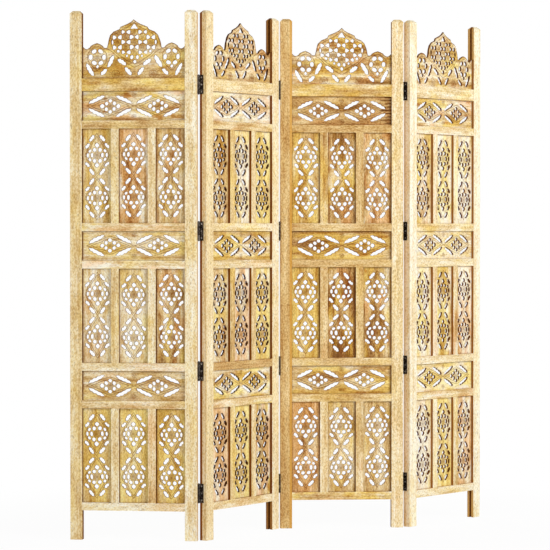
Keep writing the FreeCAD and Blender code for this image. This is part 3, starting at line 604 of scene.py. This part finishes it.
# Spaces the points of a path evenly, step apart or a little less.
def evenly(points, step, closed=True):
    if closed:
        points = np.concatenate([points, points[:1]])
    run = np.concatenate([[0], np.cumsum(np.linalg.norm(np.diff(points, axis=0), axis=1))])
    count = max(8, math.ceil(run[-1] / step))
    marks = np.linspace(0, run[-1], count, endpoint=not closed)
    return np.column_stack([np.interp(marks, run, points[:, axis]) for axis in (0, 1)])


# Rounded hole: a superellipse, cosine and sine each raised to a power, turned about its centre.
def roundRim(x, z, wide, high, power, turn):
    angle = np.linspace(0, math.tau, carving["rimSamples"], endpoint=False)
    cosine, sine = np.cos(angle), np.sin(angle)
    across = wide / 2 * np.sign(cosine) * np.abs(cosine) ** (2 / power)
    up = high / 2 * np.sign(sine) * np.abs(sine) ** (2 / power)
    ahead, aside = math.cos(math.radians(turn)), math.sin(math.radians(turn))
    spun = np.column_stack([across * ahead - up * aside, across * aside + up * ahead])
    return evenly(spun + (x, z), carving["rimStep"])


# Three-lobed hole: the radius swells and sinks three times round.
def triangleRim(x, z, radius, pointing):
    angle = np.linspace(0, math.tau, carving["rimSamples"], endpoint=False)
    swell = carving["lobeSwell"] * np.cos(3 * (angle - math.radians(pointing)))
    reach = radius * (1 + swell)
    path = np.column_stack([x + reach * np.cos(angle), z + reach * np.sin(angle)])
    return evenly(path, carving["rimStep"])


# Leaf-shaped slot between two tips: each side bows out as one less the fourth power of the
# distance from the middle, and is scalloped like a leaf's edge, the outer side more.
def slotRim(tip, otherTip, inner, outer, teeth, bite):
    ahead = otherTip - tip
    side = np.array([ahead[1], -ahead[0]]) / np.linalg.norm(ahead)
    share = np.linspace(0, 1, carving["slotSamples"], endpoint=False)
    bow = 1 - np.abs(2 * share - 1) ** 4
    scallop = bite * (np.abs(np.sin(math.pi * teeth * share)) - 1)
    lesser = 0.5 * bite * (np.abs(np.sin(math.pi * (teeth * share + 0.5))) - 1)
    there = tip + share[:, None] * ahead + (bow * (outer + scallop))[:, None] * side
    back = otherTip - share[:, None] * ahead - (bow * (inner + lesser))[:, None] * side
    return evenly(np.concatenate([there, back]), carving["rimStep"])


# Smooth path through a few marks, by quarter-step averages of neighbouring corners.
def smoothPath(marks, step, closed):
    path = np.array(marks, float)
    for cutting in range(4):
        following = np.roll(path, -1, axis=0) if closed else path[1:]
        here = path if closed else path[:-1]
        near, far = here * 0.75 + following * 0.25, here * 0.25 + following * 0.75
        cut = np.stack([near, far], 1).reshape(-1, 2)
        path = cut if closed else np.concatenate([path[:1], cut, path[-1:]])
    return evenly(path, step, closed)


# Distance from each point to the nearest of the others, some hundreds of points at a time.
def nearest(points, others):
    parts = np.array_split(points, max(1, len(points) // 400))
    gaps = [np.sqrt(((part[:, None] - others[None]) ** 2).sum(-1)).min(1) for part in parts]
    return np.concatenate(gaps)


# Even-odd count of a ring's edges to the right of each point.
def inside(points, ring):
    x, z = points[:, :1], points[:, 1:]
    here, there = ring, np.roll(ring, -1, axis=0)
    crosses = (here[:, 1] > z) != (there[:, 1] > z)
    rise = np.where(there[:, 1] == here[:, 1], 1e-12, there[:, 1] - here[:, 1])
    crossing = here[:, 0] + (z - here[:, 1]) / rise * (there[:, 0] - here[:, 0])
    return (crosses & (x < crossing)).sum(1) % 2 == 1


# Whether each point lies on a board, outside its holes.
def onBoard(points, outline, rims):
    kept = inside(points, outline)
    for ring in rims:
        kept &= ~inside(points, ring)
    return kept


# V-shaped groove, whose depth falls evenly to nothing at its lip.
def petalGroove(away):
    return carving["petalDepth"] * np.clip(1 - away / carving["petalLine"], 0, 1)


# Depth of carving: bevelled rims, V-shaped lines, and rosettes whose petals are parted by
# V-shaped lines that run from a round button to the edge. The darkness returned is painted
# shade in the lines and petal grooves, and the petals' own colour, darker on the button.
def carvedDepth(points, fromRim, linePoints, rosettes):
    rim = np.clip(1 - fromRim / carving["rimBevel"], 0, 1)
    line = np.clip(1 - nearest(points, linePoints) / carving["lineWidth"], 0, 1)
    depth = np.maximum(carving["rimDepth"] * rim, carving["lineDepth"] * line)
    stainAndShade = carving["lineShade"] * line
    for x, z, radius, petals, wax in rosettes:
        away = points - (x, z)
        reach = np.hypot(*away.T)
        turn = np.arctan2(away[:, 1], away[:, 0]) * petals / math.tau
        parted = np.abs(turn - np.round(turn)) * math.tau / petals * reach
        button = carving["buttonShare"] * radius
        petal = reach < radius
        line = petalGroove(parted) * (reach > button)
        groove = petalGroove(np.minimum(np.abs(reach - radius), np.abs(reach - button)))
        fall = carving["domeFall"] * np.clip(reach / radius, 0, 1) ** 3
        shaped = np.maximum.reduce([depth, line, groove, fall])
        depth = np.where(petal, shaped, np.maximum(depth, groove))
        cut = carving["petalShade"] * np.maximum(line * petal, groove) / carving["petalDepth"]
        waxed = wax * petal + carving["buttonStain"] * (reach < button)
        stainAndShade = np.maximum.reduce([stainAndShade, cut, waxed])
    return depth, stainAndShade


# Points that a rosette's petals, button and edge need.
def rosettePoints(x, z, radius, petals, wax):
    rows = [np.zeros((1, 2))]
    for share in carving["rosetteRings"]:
        reach = share * radius
        lip = min(carving["lipShare"], carving["petalLine"] / (math.tau * reach / petals))
        steps = np.array([0, lip, 0.5, 1 - lip] if share > carving["buttonShare"] else [0, 0.5])
        angle = ((np.arange(petals)[:, None] + steps) * math.tau / petals).ravel()
        rows.append(reach * np.column_stack([np.cos(angle), np.sin(angle)]))
    return np.concatenate(rows) + (x, z)


# Unit vectors to the right of each step.
def rightOf(ahead):
    return np.column_stack([ahead[:, 1], -ahead[:, 0]]) / np.linalg.norm(ahead, axis=1)[:, None]


# A path with a point to each side of it, for the lips and floor of a carved line.
def linedPoints(path):
    side = rightOf(np.gradient(path, axis=0)) * carving["lineWidth"]
    return np.concatenate([path, path + side, path - side])


# The sheet of one design: places, depths, triangles and the edges that walls stand on.
def carvedSheet(outline, opening, bevelled, rims, lines, rosettes):
    rings = [outline] + rims
    rimPoints = np.concatenate(rims + [bevelled])
    inset = []
    for ring in rims:
        outward = rightOf(np.roll(ring, -1, axis=0) - np.roll(ring, 1, axis=0))
        for way in (1, -1):
            moved = ring + way * outward * carving["rimBevel"]
            inset.append(moved[~inside(moved, ring)])
    inset = np.concatenate(inset)
    fine = [inset[nearest(inset, rimPoints) > carving["rimBevel"] * carving["insetShare"]]]
    fine += [rosettePoints(*rosette) for rosette in rosettes]
    linePoints = np.concatenate(lines)
    fine += [linedPoints(line) for line in lines]
    low, high = opening
    box = np.array([(low[0], low[1]), (high[0], low[1]), (high[0], high[1]), (low[0], high[1])])
    inward = np.array([(1, 1), (-1, 1), (-1, -1), (1, -1)])
    fine += [evenly(box + gap * inward, carving["frameStep"]) for gap in carving["frameGaps"]]
    kept = rimPoints
    loose = []
    for group in fine:
        free = nearest(group, kept) > carving["rimBevel"] * carving["freeShare"]
        loose.append(group[free])
        kept = np.concatenate([kept, group[free]])
    low, high = outline.min(0), outline.max(0)
    step = carving["fillStep"]
    across, up = np.meshgrid(*[np.arange(low[axis] + step, high[axis], step) for axis in (0, 1)])
    fill = np.column_stack([across.ravel(), up.ravel()])
    fill[:, 0] += (np.arange(len(across)) % 2 * step / 2).repeat(across.shape[1])
    taken = np.concatenate([kept, outline])
    loose.append(fill[nearest(fill, taken) > step * carving["fillShare"]])
    loose = np.concatenate(loose)
    keep = onBoard(loose, outline, rims) & (nearest(loose, outline) > carving["edgeGap"])
    points = np.concatenate(rings + [loose[keep]])
    starts = np.cumsum([0] + [len(ring) for ring in rings])
    edges = []
    for first, last in zip(starts, starts[1:]):
        ring = np.arange(first, last)
        edges.append(np.column_stack([ring, np.roll(ring, -1)]))
    edges = np.concatenate(edges).tolist()
    found = geometry.delaunay_2d_cdt(points.tolist(), edges, [], 0, carving["weld"])
    points, triangles = np.array(found[0]), np.array(found[2])
    triangles = triangles[onBoard(points[triangles].mean(1), outline, rims)]
    used, triangles = np.unique(triangles, return_inverse=True)
    points, triangles = points[used], triangles.reshape(-1, 3)
    pairs = np.concatenate([triangles[:, [0, 1]], triangles[:, [1, 2]], triangles[:, [2, 0]]])
    ways = pairs[:, 0] * len(points) + pairs[:, 1]
    walls = pairs[~np.isin(ways, pairs[:, 1] * len(points) + pairs[:, 0])]
    fromRim = nearest(points, rimPoints)
    depth, stainAndShade = carvedDepth(points, fromRim, linePoints, rosettes)
    # Distances from the left, bottom, right and top of the opening.
    fromFrame = np.column_stack([points - opening[0], opening[1] - points])
    sheet = {"points": points, "triangles": triangles, "walls": walls, "depth": depth}
    return sheet | {"stainAndShade": stainAndShade, "fromRim": fromRim, "fromFrame": fromFrame}


# Torn grain at a board's right end: dark streaks whose length waves up and down it.
def tornGrain(flat):
    torn = carving["torn"]
    narrow, wide = torn["streaks"]
    even, streaked = torn["streakShares"]
    streaks = np.sin(flat[:, 1] / narrow)
    ragged = torn["ragged"] * (streaks + np.sin(flat[:, 1] / wide + 1))
    start = innerWidth / 2 - torn["reach"] - ragged
    faded = np.clip((flat[:, 0] - start) / torn["fade"], 0, 1)
    return torn["stainAndShade"] * (even + streaked * streaks) * faded


# Sum of two waves for each direction: one that runs across it and one that runs along it.
def waved(flat, lengths, phases):
    return np.sin(flat[:, ::-1] / lengths[0] + phases[0]) + np.sin(flat / lengths[1] + phases[1])


# Boards in a node's places, each with its pattern set a little differently by hand.
def boardPiece(node, leaf, design, places, tones, grainAxis):
    points, triangles, walls, rows, carvingShadeRows = [], [], [], [], []
    count = len(design["points"])
    # Painted shade along the frame and, with some dirt, at the holes' rims.
    dark, far = np.array(carving["frameShade"][leaf]).T
    frameShadeMask = (dark * np.clip(1 - design["fromFrame"] / far, 0, 1)).max(1)
    rimDark, rimReach = carving["rimShade"][leaf]
    rim = np.clip(rimDark * (1 - design["fromRim"] / rimReach), 0, 1)
    carvingShadeAndMarks = np.maximum.reduce([design["stainAndShade"], rim, frameShadeMask])
    flat = design["points"]
    reach = np.abs(flat).max(0)
    # The pattern moves less near the board's edges, by the sixth power of the way to them.
    within = np.clip(1 - (flat / reach) ** 6, 0, 1).prod(1)[:, None]
    limit = carving["shiftLimit"]
    depths = boardFront + design["depth"], boardBack - design["depth"]
    for index, place in enumerate(places):
        shift = handWork.normal(0, carving["patternShift"], 2)
        phase = handWork.uniform(0, math.tau, 4)
        wave = carving["patternWarp"] * waved(flat, carving["waves"], (phase[::2], phase[1::2]))
        ripple = carving["holeWarp"] * waved(flat, carving["ripples"], (phase[:2], phase[2:]))
        moved = flat + within * (np.clip(shift, -limit, limit) + wave + ripple)
        sides = [np.column_stack([moved[:, 0], depth, moved[:, 1]]) for depth in depths]
        both = np.concatenate(sides) + place
        points.append(both)
        first = 2 * count * index
        triangles += [design["triangles"] + first, design["triangles"][:, ::-1] + first + count]
        edge = design["walls"] + first
        walls.append(np.column_stack([edge[:, ::-1], edge + count]))
        rows.append(sawn(both, grainAxis, tones[index]))
        torn = (node, index) == carving["torn"]["board"]
        carvingShadeRows.append(np.tile(np.maximum(carvingShadeAndMarks, tornGrain(flat)) if torn else carvingShadeAndMarks, 2))
    points, rows = np.concatenate(points), np.concatenate(rows)
    layers = {"grain": rows[:, :3], "tone": rows[:, 3:], "carvingShadeAndMarks": np.concatenate(carvingShadeRows)}
    triangles, walls = np.concatenate(triangles), np.concatenate(walls)
    # Painted shade, with some dirt, on the holes' walls.
    stainAndShade = np.repeat([0.0, carving["wallShade"][leaf]], [len(triangles), len(walls)])
    mesh = meshOf(node, standing(leaf, points), [triangles, walls], layers, stainAndShade)
    mesh.shade_smooth()
    mesh.set_sharp_from_angle(angle=math.radians(carving["sharpAngle"]))
    addPiece(node, mesh, carvedWood)


def boardOutline(wide, high):
    right, top = wide / 2 + sizes["tongue"], high / 2 + sizes["tongue"]
    corners = np.array([(-right, -top), (right, -top), (right, top), (-right, top)])
    sides = []
    for start, end in zip(corners, np.roll(corners, -1, axis=0)):
        count = max(2, round(np.linalg.norm(end - start) / carving["edgeStep"]))
        sides.append(np.linspace(start, end, count, endpoint=False))
    return np.concatenate(sides)


mirrors = {
    "beside": ((1, 1), (-1, 1)), "above": ((1, 1), (1, -1)),
    "around": ((1, 1), (-1, 1), (1, -1), (-1, -1)),
}


# Tall panel: two medallions, each a rosette in two rings of holes inside a pointed oval band.
panelLooks = {
    "centre": (0.0, 67.0), "rosette": (10.2, 8, 0.3), "buds": [],
    "holes": {  # place, width, height, power and turn
        "beside": [(16.4, 0, 9.6, 15.0, 2.3, 0), (30.4, 0, 8.0, 14.0, 2.2, 0)],
        "above": [(0, 30.6, 14.2, 15.0, 1.35, 0)],
        "around": [(8.8, 17.0, 11.8, 12.2, 1.9, 32), (24.2, 13.4, 11.4, 8.6, 2.1, -42)],
    },
    "slots": [((37.8, 21.6), (24.0, 35.2), 4.4, 5.6, 2), ((24.8, 41.8), (8.2, 60.6), 4.8, 6.3, 3)],
    "slotBite": 2.2, "straps": [(67.5, 39.3, 1.14), (59.0, 33.5, 1.14)], "strapOrder": (1, 0),
}


# Frieze: two lozenges side by side with buds between them.
friezeLooks = {
    "centre": (75.5, 0.0), "rosette": (9.0, 8, 0.25),
    "buds": [(0, 33, 6.0, 5, 0.15), (0, -33, 6.0, 5, 0.15)],
    "holes": {
        "beside": [(25.2, 0, 13.6, 13.0, 1.7, 0)],
        "above": [(0, 16.7, 12.2, 11.2, 1.9, 0)],
        "around": [(12.5, 8.3, 11.2, 11.6, 2.0, 0)],
    },
    "slots": [((67.8, 7.8), (17.6, 31.7), 5.0, 6.9, 4)],
    "slotBite": 2.4, "straps": [(74.0, 28.5, 1.1), (60.0, 21.5, 1.1)], "strapOrder": (0, 1),
}


# Holes and slots of a design, mirrored across and up and then moved to a middle.
def holeRims(rows, across, up, middle):
    rims = []
    for x, z, *shape, turn in rows:
        place = np.array([across * x, up * z]) + middle
        rims.append(roundRim(*place, *shape, across * up * turn))
    return rims


def slotRims(looks, across, up, middle):
    rims = []
    for tip, far, *bows, teeth in looks["slots"]:
        ends = [np.array([across * x, up * z]) + middle for x, z in (tip, far)]
        inner, outer = across * up * np.array(bows)
        rims.append(slotRim(*ends, inner, outer, teeth, looks["slotBite"] * np.sign(outer)))
    return rims


# Two medallions on opposite sides of a board's middle. Their straps bow out as one less a power
# of the distance from the strap's middle.
def medallionDesign(looks, wide, high):
    rims, lines, rosettes = [], [], list(looks["buds"])
    for end in (1, -1):
        middle = end * np.array(looks["centre"])
        for group, rows in looks["holes"].items():
            for across, up in mirrors[group]:
                rims += holeRims(rows, across, up, middle)
        for across, up in mirrors["around"]:
            rims += slotRims(looks, across, up, middle)
        for long, bulge, power in looks["straps"]:
            run = np.linspace(-long, long, carving["strapSamples"])
            bow = bulge * (1 - np.abs(run / long) ** power)
            for side in (1, -1):
                path = np.column_stack([run, side * bow])[:, looks["strapOrder"]]
                lines.append(evenly(path + middle, carving["lineStep"], False))
        rosettes.append((*middle, *looks["rosette"]))
    half = np.array([wide, high]) / 2
    unbevelled = np.zeros((0, 2))
    return carvedSheet(boardOutline(wide, high), (-half, half), unbevelled, rims, lines, rosettes)


# Crest: an onion dome with a lattice of rosettes between two lobes with a wheel each.
crestLooks = {
    "edge": [
        (162, 101), (157, 95), (151, 91), (145, 92), (138.5, 97), (137, 100.5), (128, 105.5),
        (118, 108.6), (108, 105.5), (99, 100.5), (97.5, 97), (91.5, 94.5), (86, 95), (84.6, 100),
        (81, 117), (75.5, 133), (64, 145), (46, 152), (42.4, 159.5), (21, 168.5), (9, 175),
        (0, 183.5),
    ],
    "sideSamples": 16,
    "lattice": (111.5, 26.5, 15.6), "rosette": (11.3, 8, 0.08),
    "rosettes": [(0, 2), (0, -2), (1, 1), (1, -1), (-1, 1), (-1, -1), (0, 0), (2, 0), (-2, 0)],
    "triangles": [
        (2 / 3, 0, 6.3, 0), (4 / 3, 0, 6.3, 180), (1 / 3, 1, 6.3, 180), (5 / 3, 1, 6.3, 0),
        (2 / 3, 2, 6.0, 0), (4 / 3, 2, 5.4, 180), (7 / 3, 1, 6.0, 180),
    ],
    "holes": [
        (8.9, 64.4, 10.2, 12.2, 2, 0), (23.6, 69, 6.8, 8.0, 2, 0), (50.6, 84.6, 9.8, 8.4, 2, 35),
        (68, 111.5, 6.4, 14.4, 2, 0), (117, 35.8, 9.6, 11.4, 1.5, 0),
    ],
    "middleHoles": [(0, 50.5, 10.8, 11.8, 1.5, 0)],
    "apex": [
        (-12.6, 152.4), (-6, 152.6), (0, 153.4), (6, 152.6), (12.6, 152.4), (7.5, 160.5),
        (0, 171), (-7.5, 160.5),
    ],
    "lobe": (117, 66), "lobeRosette": (13.2, 8, 0.1), "wheel": (20.6, 6, 16.4, 12.2, 2.2),
    "slots": [
        ((150, 47), (128, 7.5), -4.8, -7.8, 4), ((87, 28), (106, 10), -5.0, -6.8, 2),
        ((65, 72), (86, 33.5), 5.6, 7.8, 3), ((53, 59), (27, 40), 5.4, 7.6, 3),
        ((30, 32.5), (10.5, 8.5), 5.2, 7.2, 3),
    ],
    "slotBite": 2.2,
    "dome": [
        (0, 42), (15, 51), (32.5, 60), (50, 72), (63.5, 86), (71.5, 100), (73.5, 112.5),
        (69, 126), (59, 137), (47, 145), (30, 152.5), (15, 161), (0, 174),
    ],
    "strap": [(0, 31), (15, 40.5), (35, 52), (52, 65), (62, 76), (72, 85), (83, 90)],
    "lobeBand": [
        (117, 20), (103, 36), (90, 50), (86, 66), (90.2, 81.5), (101.5, 93), (117, 99),
        (132.5, 93), (143.8, 81.5), (148, 66), (144, 50), (131, 36),
    ],
    "fans": [(58.5, 13, 13.0, 9, 0.2), (-58.5, 13, 13.0, 9, 0.2)],
}


def crestDesign():
    looks = crestLooks
    rims, lines, rosettes = [], [], list(looks["fans"])
    lift, stepAcross, stepUp = looks["lattice"]
    for across, up in looks["rosettes"]:
        rosettes.append((across * stepAcross, lift + up * stepUp, *looks["rosette"]))
    for across, up, radius, pointing in looks["triangles"]:
        for side, rise in mirrors["around"] if up else mirrors["beside"]:
            turned = pointing if side > 0 else 180 - pointing
            place = side * across * stepAcross, lift + rise * up * stepUp
            rims.append(triangleRim(*place, radius, turned))
    rims += holeRims(looks["middleHoles"], 1, 1, 0)
    rims.append(smoothPath(looks["apex"], carving["rimStep"], True))
    lobeX, lobeZ = looks["lobe"]
    reach, count, long, wide, power = looks["wheel"]
    for side in (1, -1):
        rims += holeRims(looks["holes"], side, 1, 0)
        for spoke in range(count):
            angle = math.tau * spoke / count
            hub = (side * (lobeX + reach * math.cos(angle)), lobeZ + reach * math.sin(angle))
            rims.append(roundRim(*hub, wide, long, power, side * math.degrees(angle)))
        rims += slotRims(looks, side, 1, 0)
        rosettes.append((side * lobeX, lobeZ, *looks["lobeRosette"]))
        for line, closed in (("dome", False), ("strap", False), ("lobeBand", True)):
            marks = np.array(looks[line]) * (side, 1)
            lines.append(smoothPath(marks, carving["lineStep"], closed))
    half = np.array(looks["edge"])
    edge = evenly(np.concatenate([half, half[-2::-1] * (-1, 1)]), carving["rimStep"], False)
    right, foot = innerWidth / 2 + sizes["tongue"], -sizes["tongue"]
    horn = half[0, 1]
    corners = np.array([(-right, horn), (-right, foot), (right, foot), (right, horn)])
    count = looks["sideSamples"]
    sides = [np.linspace(*ends, count, endpoint=False) for ends in zip(corners, corners[1:])]
    outline = np.concatenate([edge, *sides, corners[-1:]])
    opening = np.array([-innerWidth / 2, 0]), np.array([innerWidth / 2, 2 * sizes["crestHeight"]])
    return carvedSheet(outline, opening, edge, rims, lines, rosettes)


sheets = {
    "panel": medallionDesign(panelLooks, panelWidth, sizes["panelHeight"]),
    "frieze": medallionDesign(friezeLooks, innerWidth, sizes["friezeHeight"]),
    "crest": crestDesign(),
}
for name, sheet in sheets.items():
    triangles, edges = len(sheet["triangles"]), len(sheet["walls"])
    print(f"{name} design: {triangles} triangles a side, {edges} rim edges")

panelMiddles = [sizes["stileWidth"] + panelWidth / 2 + index * panelPitch for index in range(3)]
leafMiddle = sizes["width"] / 2


# Each board's kind of plank gives its tones.
def addBoards(leaf, row, name, sheet, places, grainAxis):
    kinds = [carving["planks"][kind] for kind in carving["boards"][row][leaf].split()]
    boards = np.array(kinds) + (carving["boardLight"][leaf], 0, 0)
    tones = [[(tone, carving["plankSpread"]) for tone in board] for board in boards]
    places = [np.array([x, 0, z]) for x, z in places]
    boardPiece(f"{leaf}_{name}", leaf, sheets[sheet], places, tones, grainAxis)


for leaf in leafNames:
    for tier, floor in zip(("lower", "middle", "upper"), tierFloors):
        places = [(x, floor + sizes["panelHeight"] / 2) for x in panelMiddles]
        addBoards(leaf, tier, f"{tier}_panels", "panel", places, "up")
    places = [(leafMiddle, floor + sizes["friezeHeight"] / 2) for floor in friezeFloors]
    addBoards(leaf, "friezes", "friezes", "frieze", places, "along")
    addBoards(leaf, "crest", "crest", "crest", [(leafMiddle, crestFloor)], "along")
print("boards carved")

# Hinges: brown-black steel, bright patches of wear and painted glints, and paler screws.
steelLooks = {
    "hinge": (srgb(56, 46, 40), srgb(168, 158, 148), 0.34),
    "screw": (srgb(170, 163, 155), srgb(232, 228, 222), 0.28),
    "wearAndGlints": 150.0, "bright": (0.50, 0.70), "roughened": (0.3, 0.8), "roughShift": (0.15, 0.1),
    "bump": 0.2, "bumpSize": 0.0003, "metallic": 0.85,
}


# Dark and bright steel mixed by noise: the bright patches paint glints as well as rubbed wear.
def wornGlintedSteel(name, dark, bright, rough):
    material, tree = newMaterial(name)
    place = addNode(tree, "ShaderNodeTexCoord").outputs["Object"]
    looks = steelLooks
    inputs = {"Vector": place, "Scale": looks["wearAndGlints"], "Detail": 5.0, "Roughness": 0.7}
    wearAndGlints = addNode(tree, "ShaderNodeTexNoise", inputs).outputs[0]
    colour = mixed(tree, ranged(tree, wearAndGlints, *looks["bright"]), dark, bright)
    duller, shinier = looks["roughShift"]
    shine = ranged(tree, wearAndGlints, *looks["roughened"], rough + duller, rough - shinier)
    inputs = {"Height": wearAndGlints, "Strength": looks["bump"], "Distance": looks["bumpSize"]}
    bump = addNode(tree, "ShaderNodeBump", inputs)
    inputs = {"Base Color": colour, "Roughness": shine, "Normal": bump.outputs[0]}
    addSurface(tree, inputs | {"Metallic": looks["metallic"]})
    return material


hingeSteel = wornGlintedSteel("hingeSteel", *steelLooks["hinge"])
screwSteel = wornGlintedSteel("screwSteel", *steelLooks["screw"])
for name, node in frame["nodes"].items():
    if name.startswith("hinges"):
        node.data.materials.clear()
        node.data.materials.append(screwSteel if "screws" in name else hingeSteel)
print("hinges dressed")

# Studio: a white floor that keeps the shadow near the feet, a white surround and soft lamps,
# one of them behind the screen.
studio = {
    "floor": 12.0, "floorColour": (0.9, 0.9, 0.9, 1), "floorGlow": (0.95, 1.0),
    "floorFade": (0.8, 1.8), "surround": 0.35,
    "lamps": {  # place, size and power
        "key": ((2.0, -5.2, 2.8), 2.6, 208.0), "fill": ((-4.2, -4.6, 2.4), 3.0, 92.0),
        "back": ((0.4, 5.6, 2.6), 3.0, 130.0),
    },
    "aim": (0.0, 0.0, 0.85),
}


def whiteToCamera(tree, seen, unseen):
    path = addNode(tree, "ShaderNodeLightPath").outputs
    mirrored = maths(tree, "MAXIMUM", path["Is Glossy Ray"], path["Is Transmission Ray"])
    shown = maths(tree, "MAXIMUM", path["Is Camera Ray"], mirrored)
    return addNode(tree, "ShaderNodeMixShader", {0: shown, 1: unseen, 2: seen}).outputs[0]


world = bpy.data.worlds.new("studio")
bpy.context.scene.world = world
world.use_nodes = True
tree = world.node_tree
tree.nodes.clear()
fullWhite = {"Color": (1, 1, 1, 1), "Strength": 1.0}
softWhite = fullWhite | {"Strength": studio["surround"]}
white = addNode(tree, "ShaderNodeBackground", fullWhite).outputs[0]
soft = addNode(tree, "ShaderNodeBackground", softWhite).outputs[0]
addNode(tree, "ShaderNodeOutputWorld", {"Surface": whiteToCamera(tree, white, soft)})

reach = studio["floor"]
floorMesh = bpy.data.meshes.new("floor")
corners = [(-reach, -reach, 0), (reach, -reach, 0), (reach, reach, 0), (-reach, reach, 0)]
floorMesh.from_pydata(corners, [], [(0, 1, 2, 3)])
floor = addObject("floor", floorMesh)
floorWhite, tree = newMaterial("floorWhite")
matte = addNode(tree, "ShaderNodeBsdfDiffuse", {"Color": studio["floorColour"]}).outputs[0]
glow = addNode(tree, "ShaderNodeEmission", fullWhite).outputs[0]
place = addNode(tree, "ShaderNodeTexCoord").outputs["Object"]
fromMiddle = addNode(tree, "ShaderNodeVectorMath", {0: place}, operation="LENGTH").outputs["Value"]
glowShare = ranged(tree, fromMiddle, *studio["floorFade"], *studio["floorGlow"])
shown = addNode(tree, "ShaderNodeMixShader", {0: glowShare, 1: matte, 2: glow}).outputs[0]
addNode(tree, "ShaderNodeOutputMaterial", {"Surface": whiteToCamera(tree, shown, matte)})
floorMesh.materials.append(floorWhite)

for lamp, (place, size, power) in studio["lamps"].items():
    light = bpy.data.lights.new(lamp, "AREA")
    light.size = size
    light.energy = power
    lampObject = addObject(lamp, light)
    lampObject.location = place
    towards = Vector(studio["aim"]) - Vector(place)
    lampObject.rotation_euler = towards.to_track_quat("-Z", "Y").to_euler()
print("studio lit")
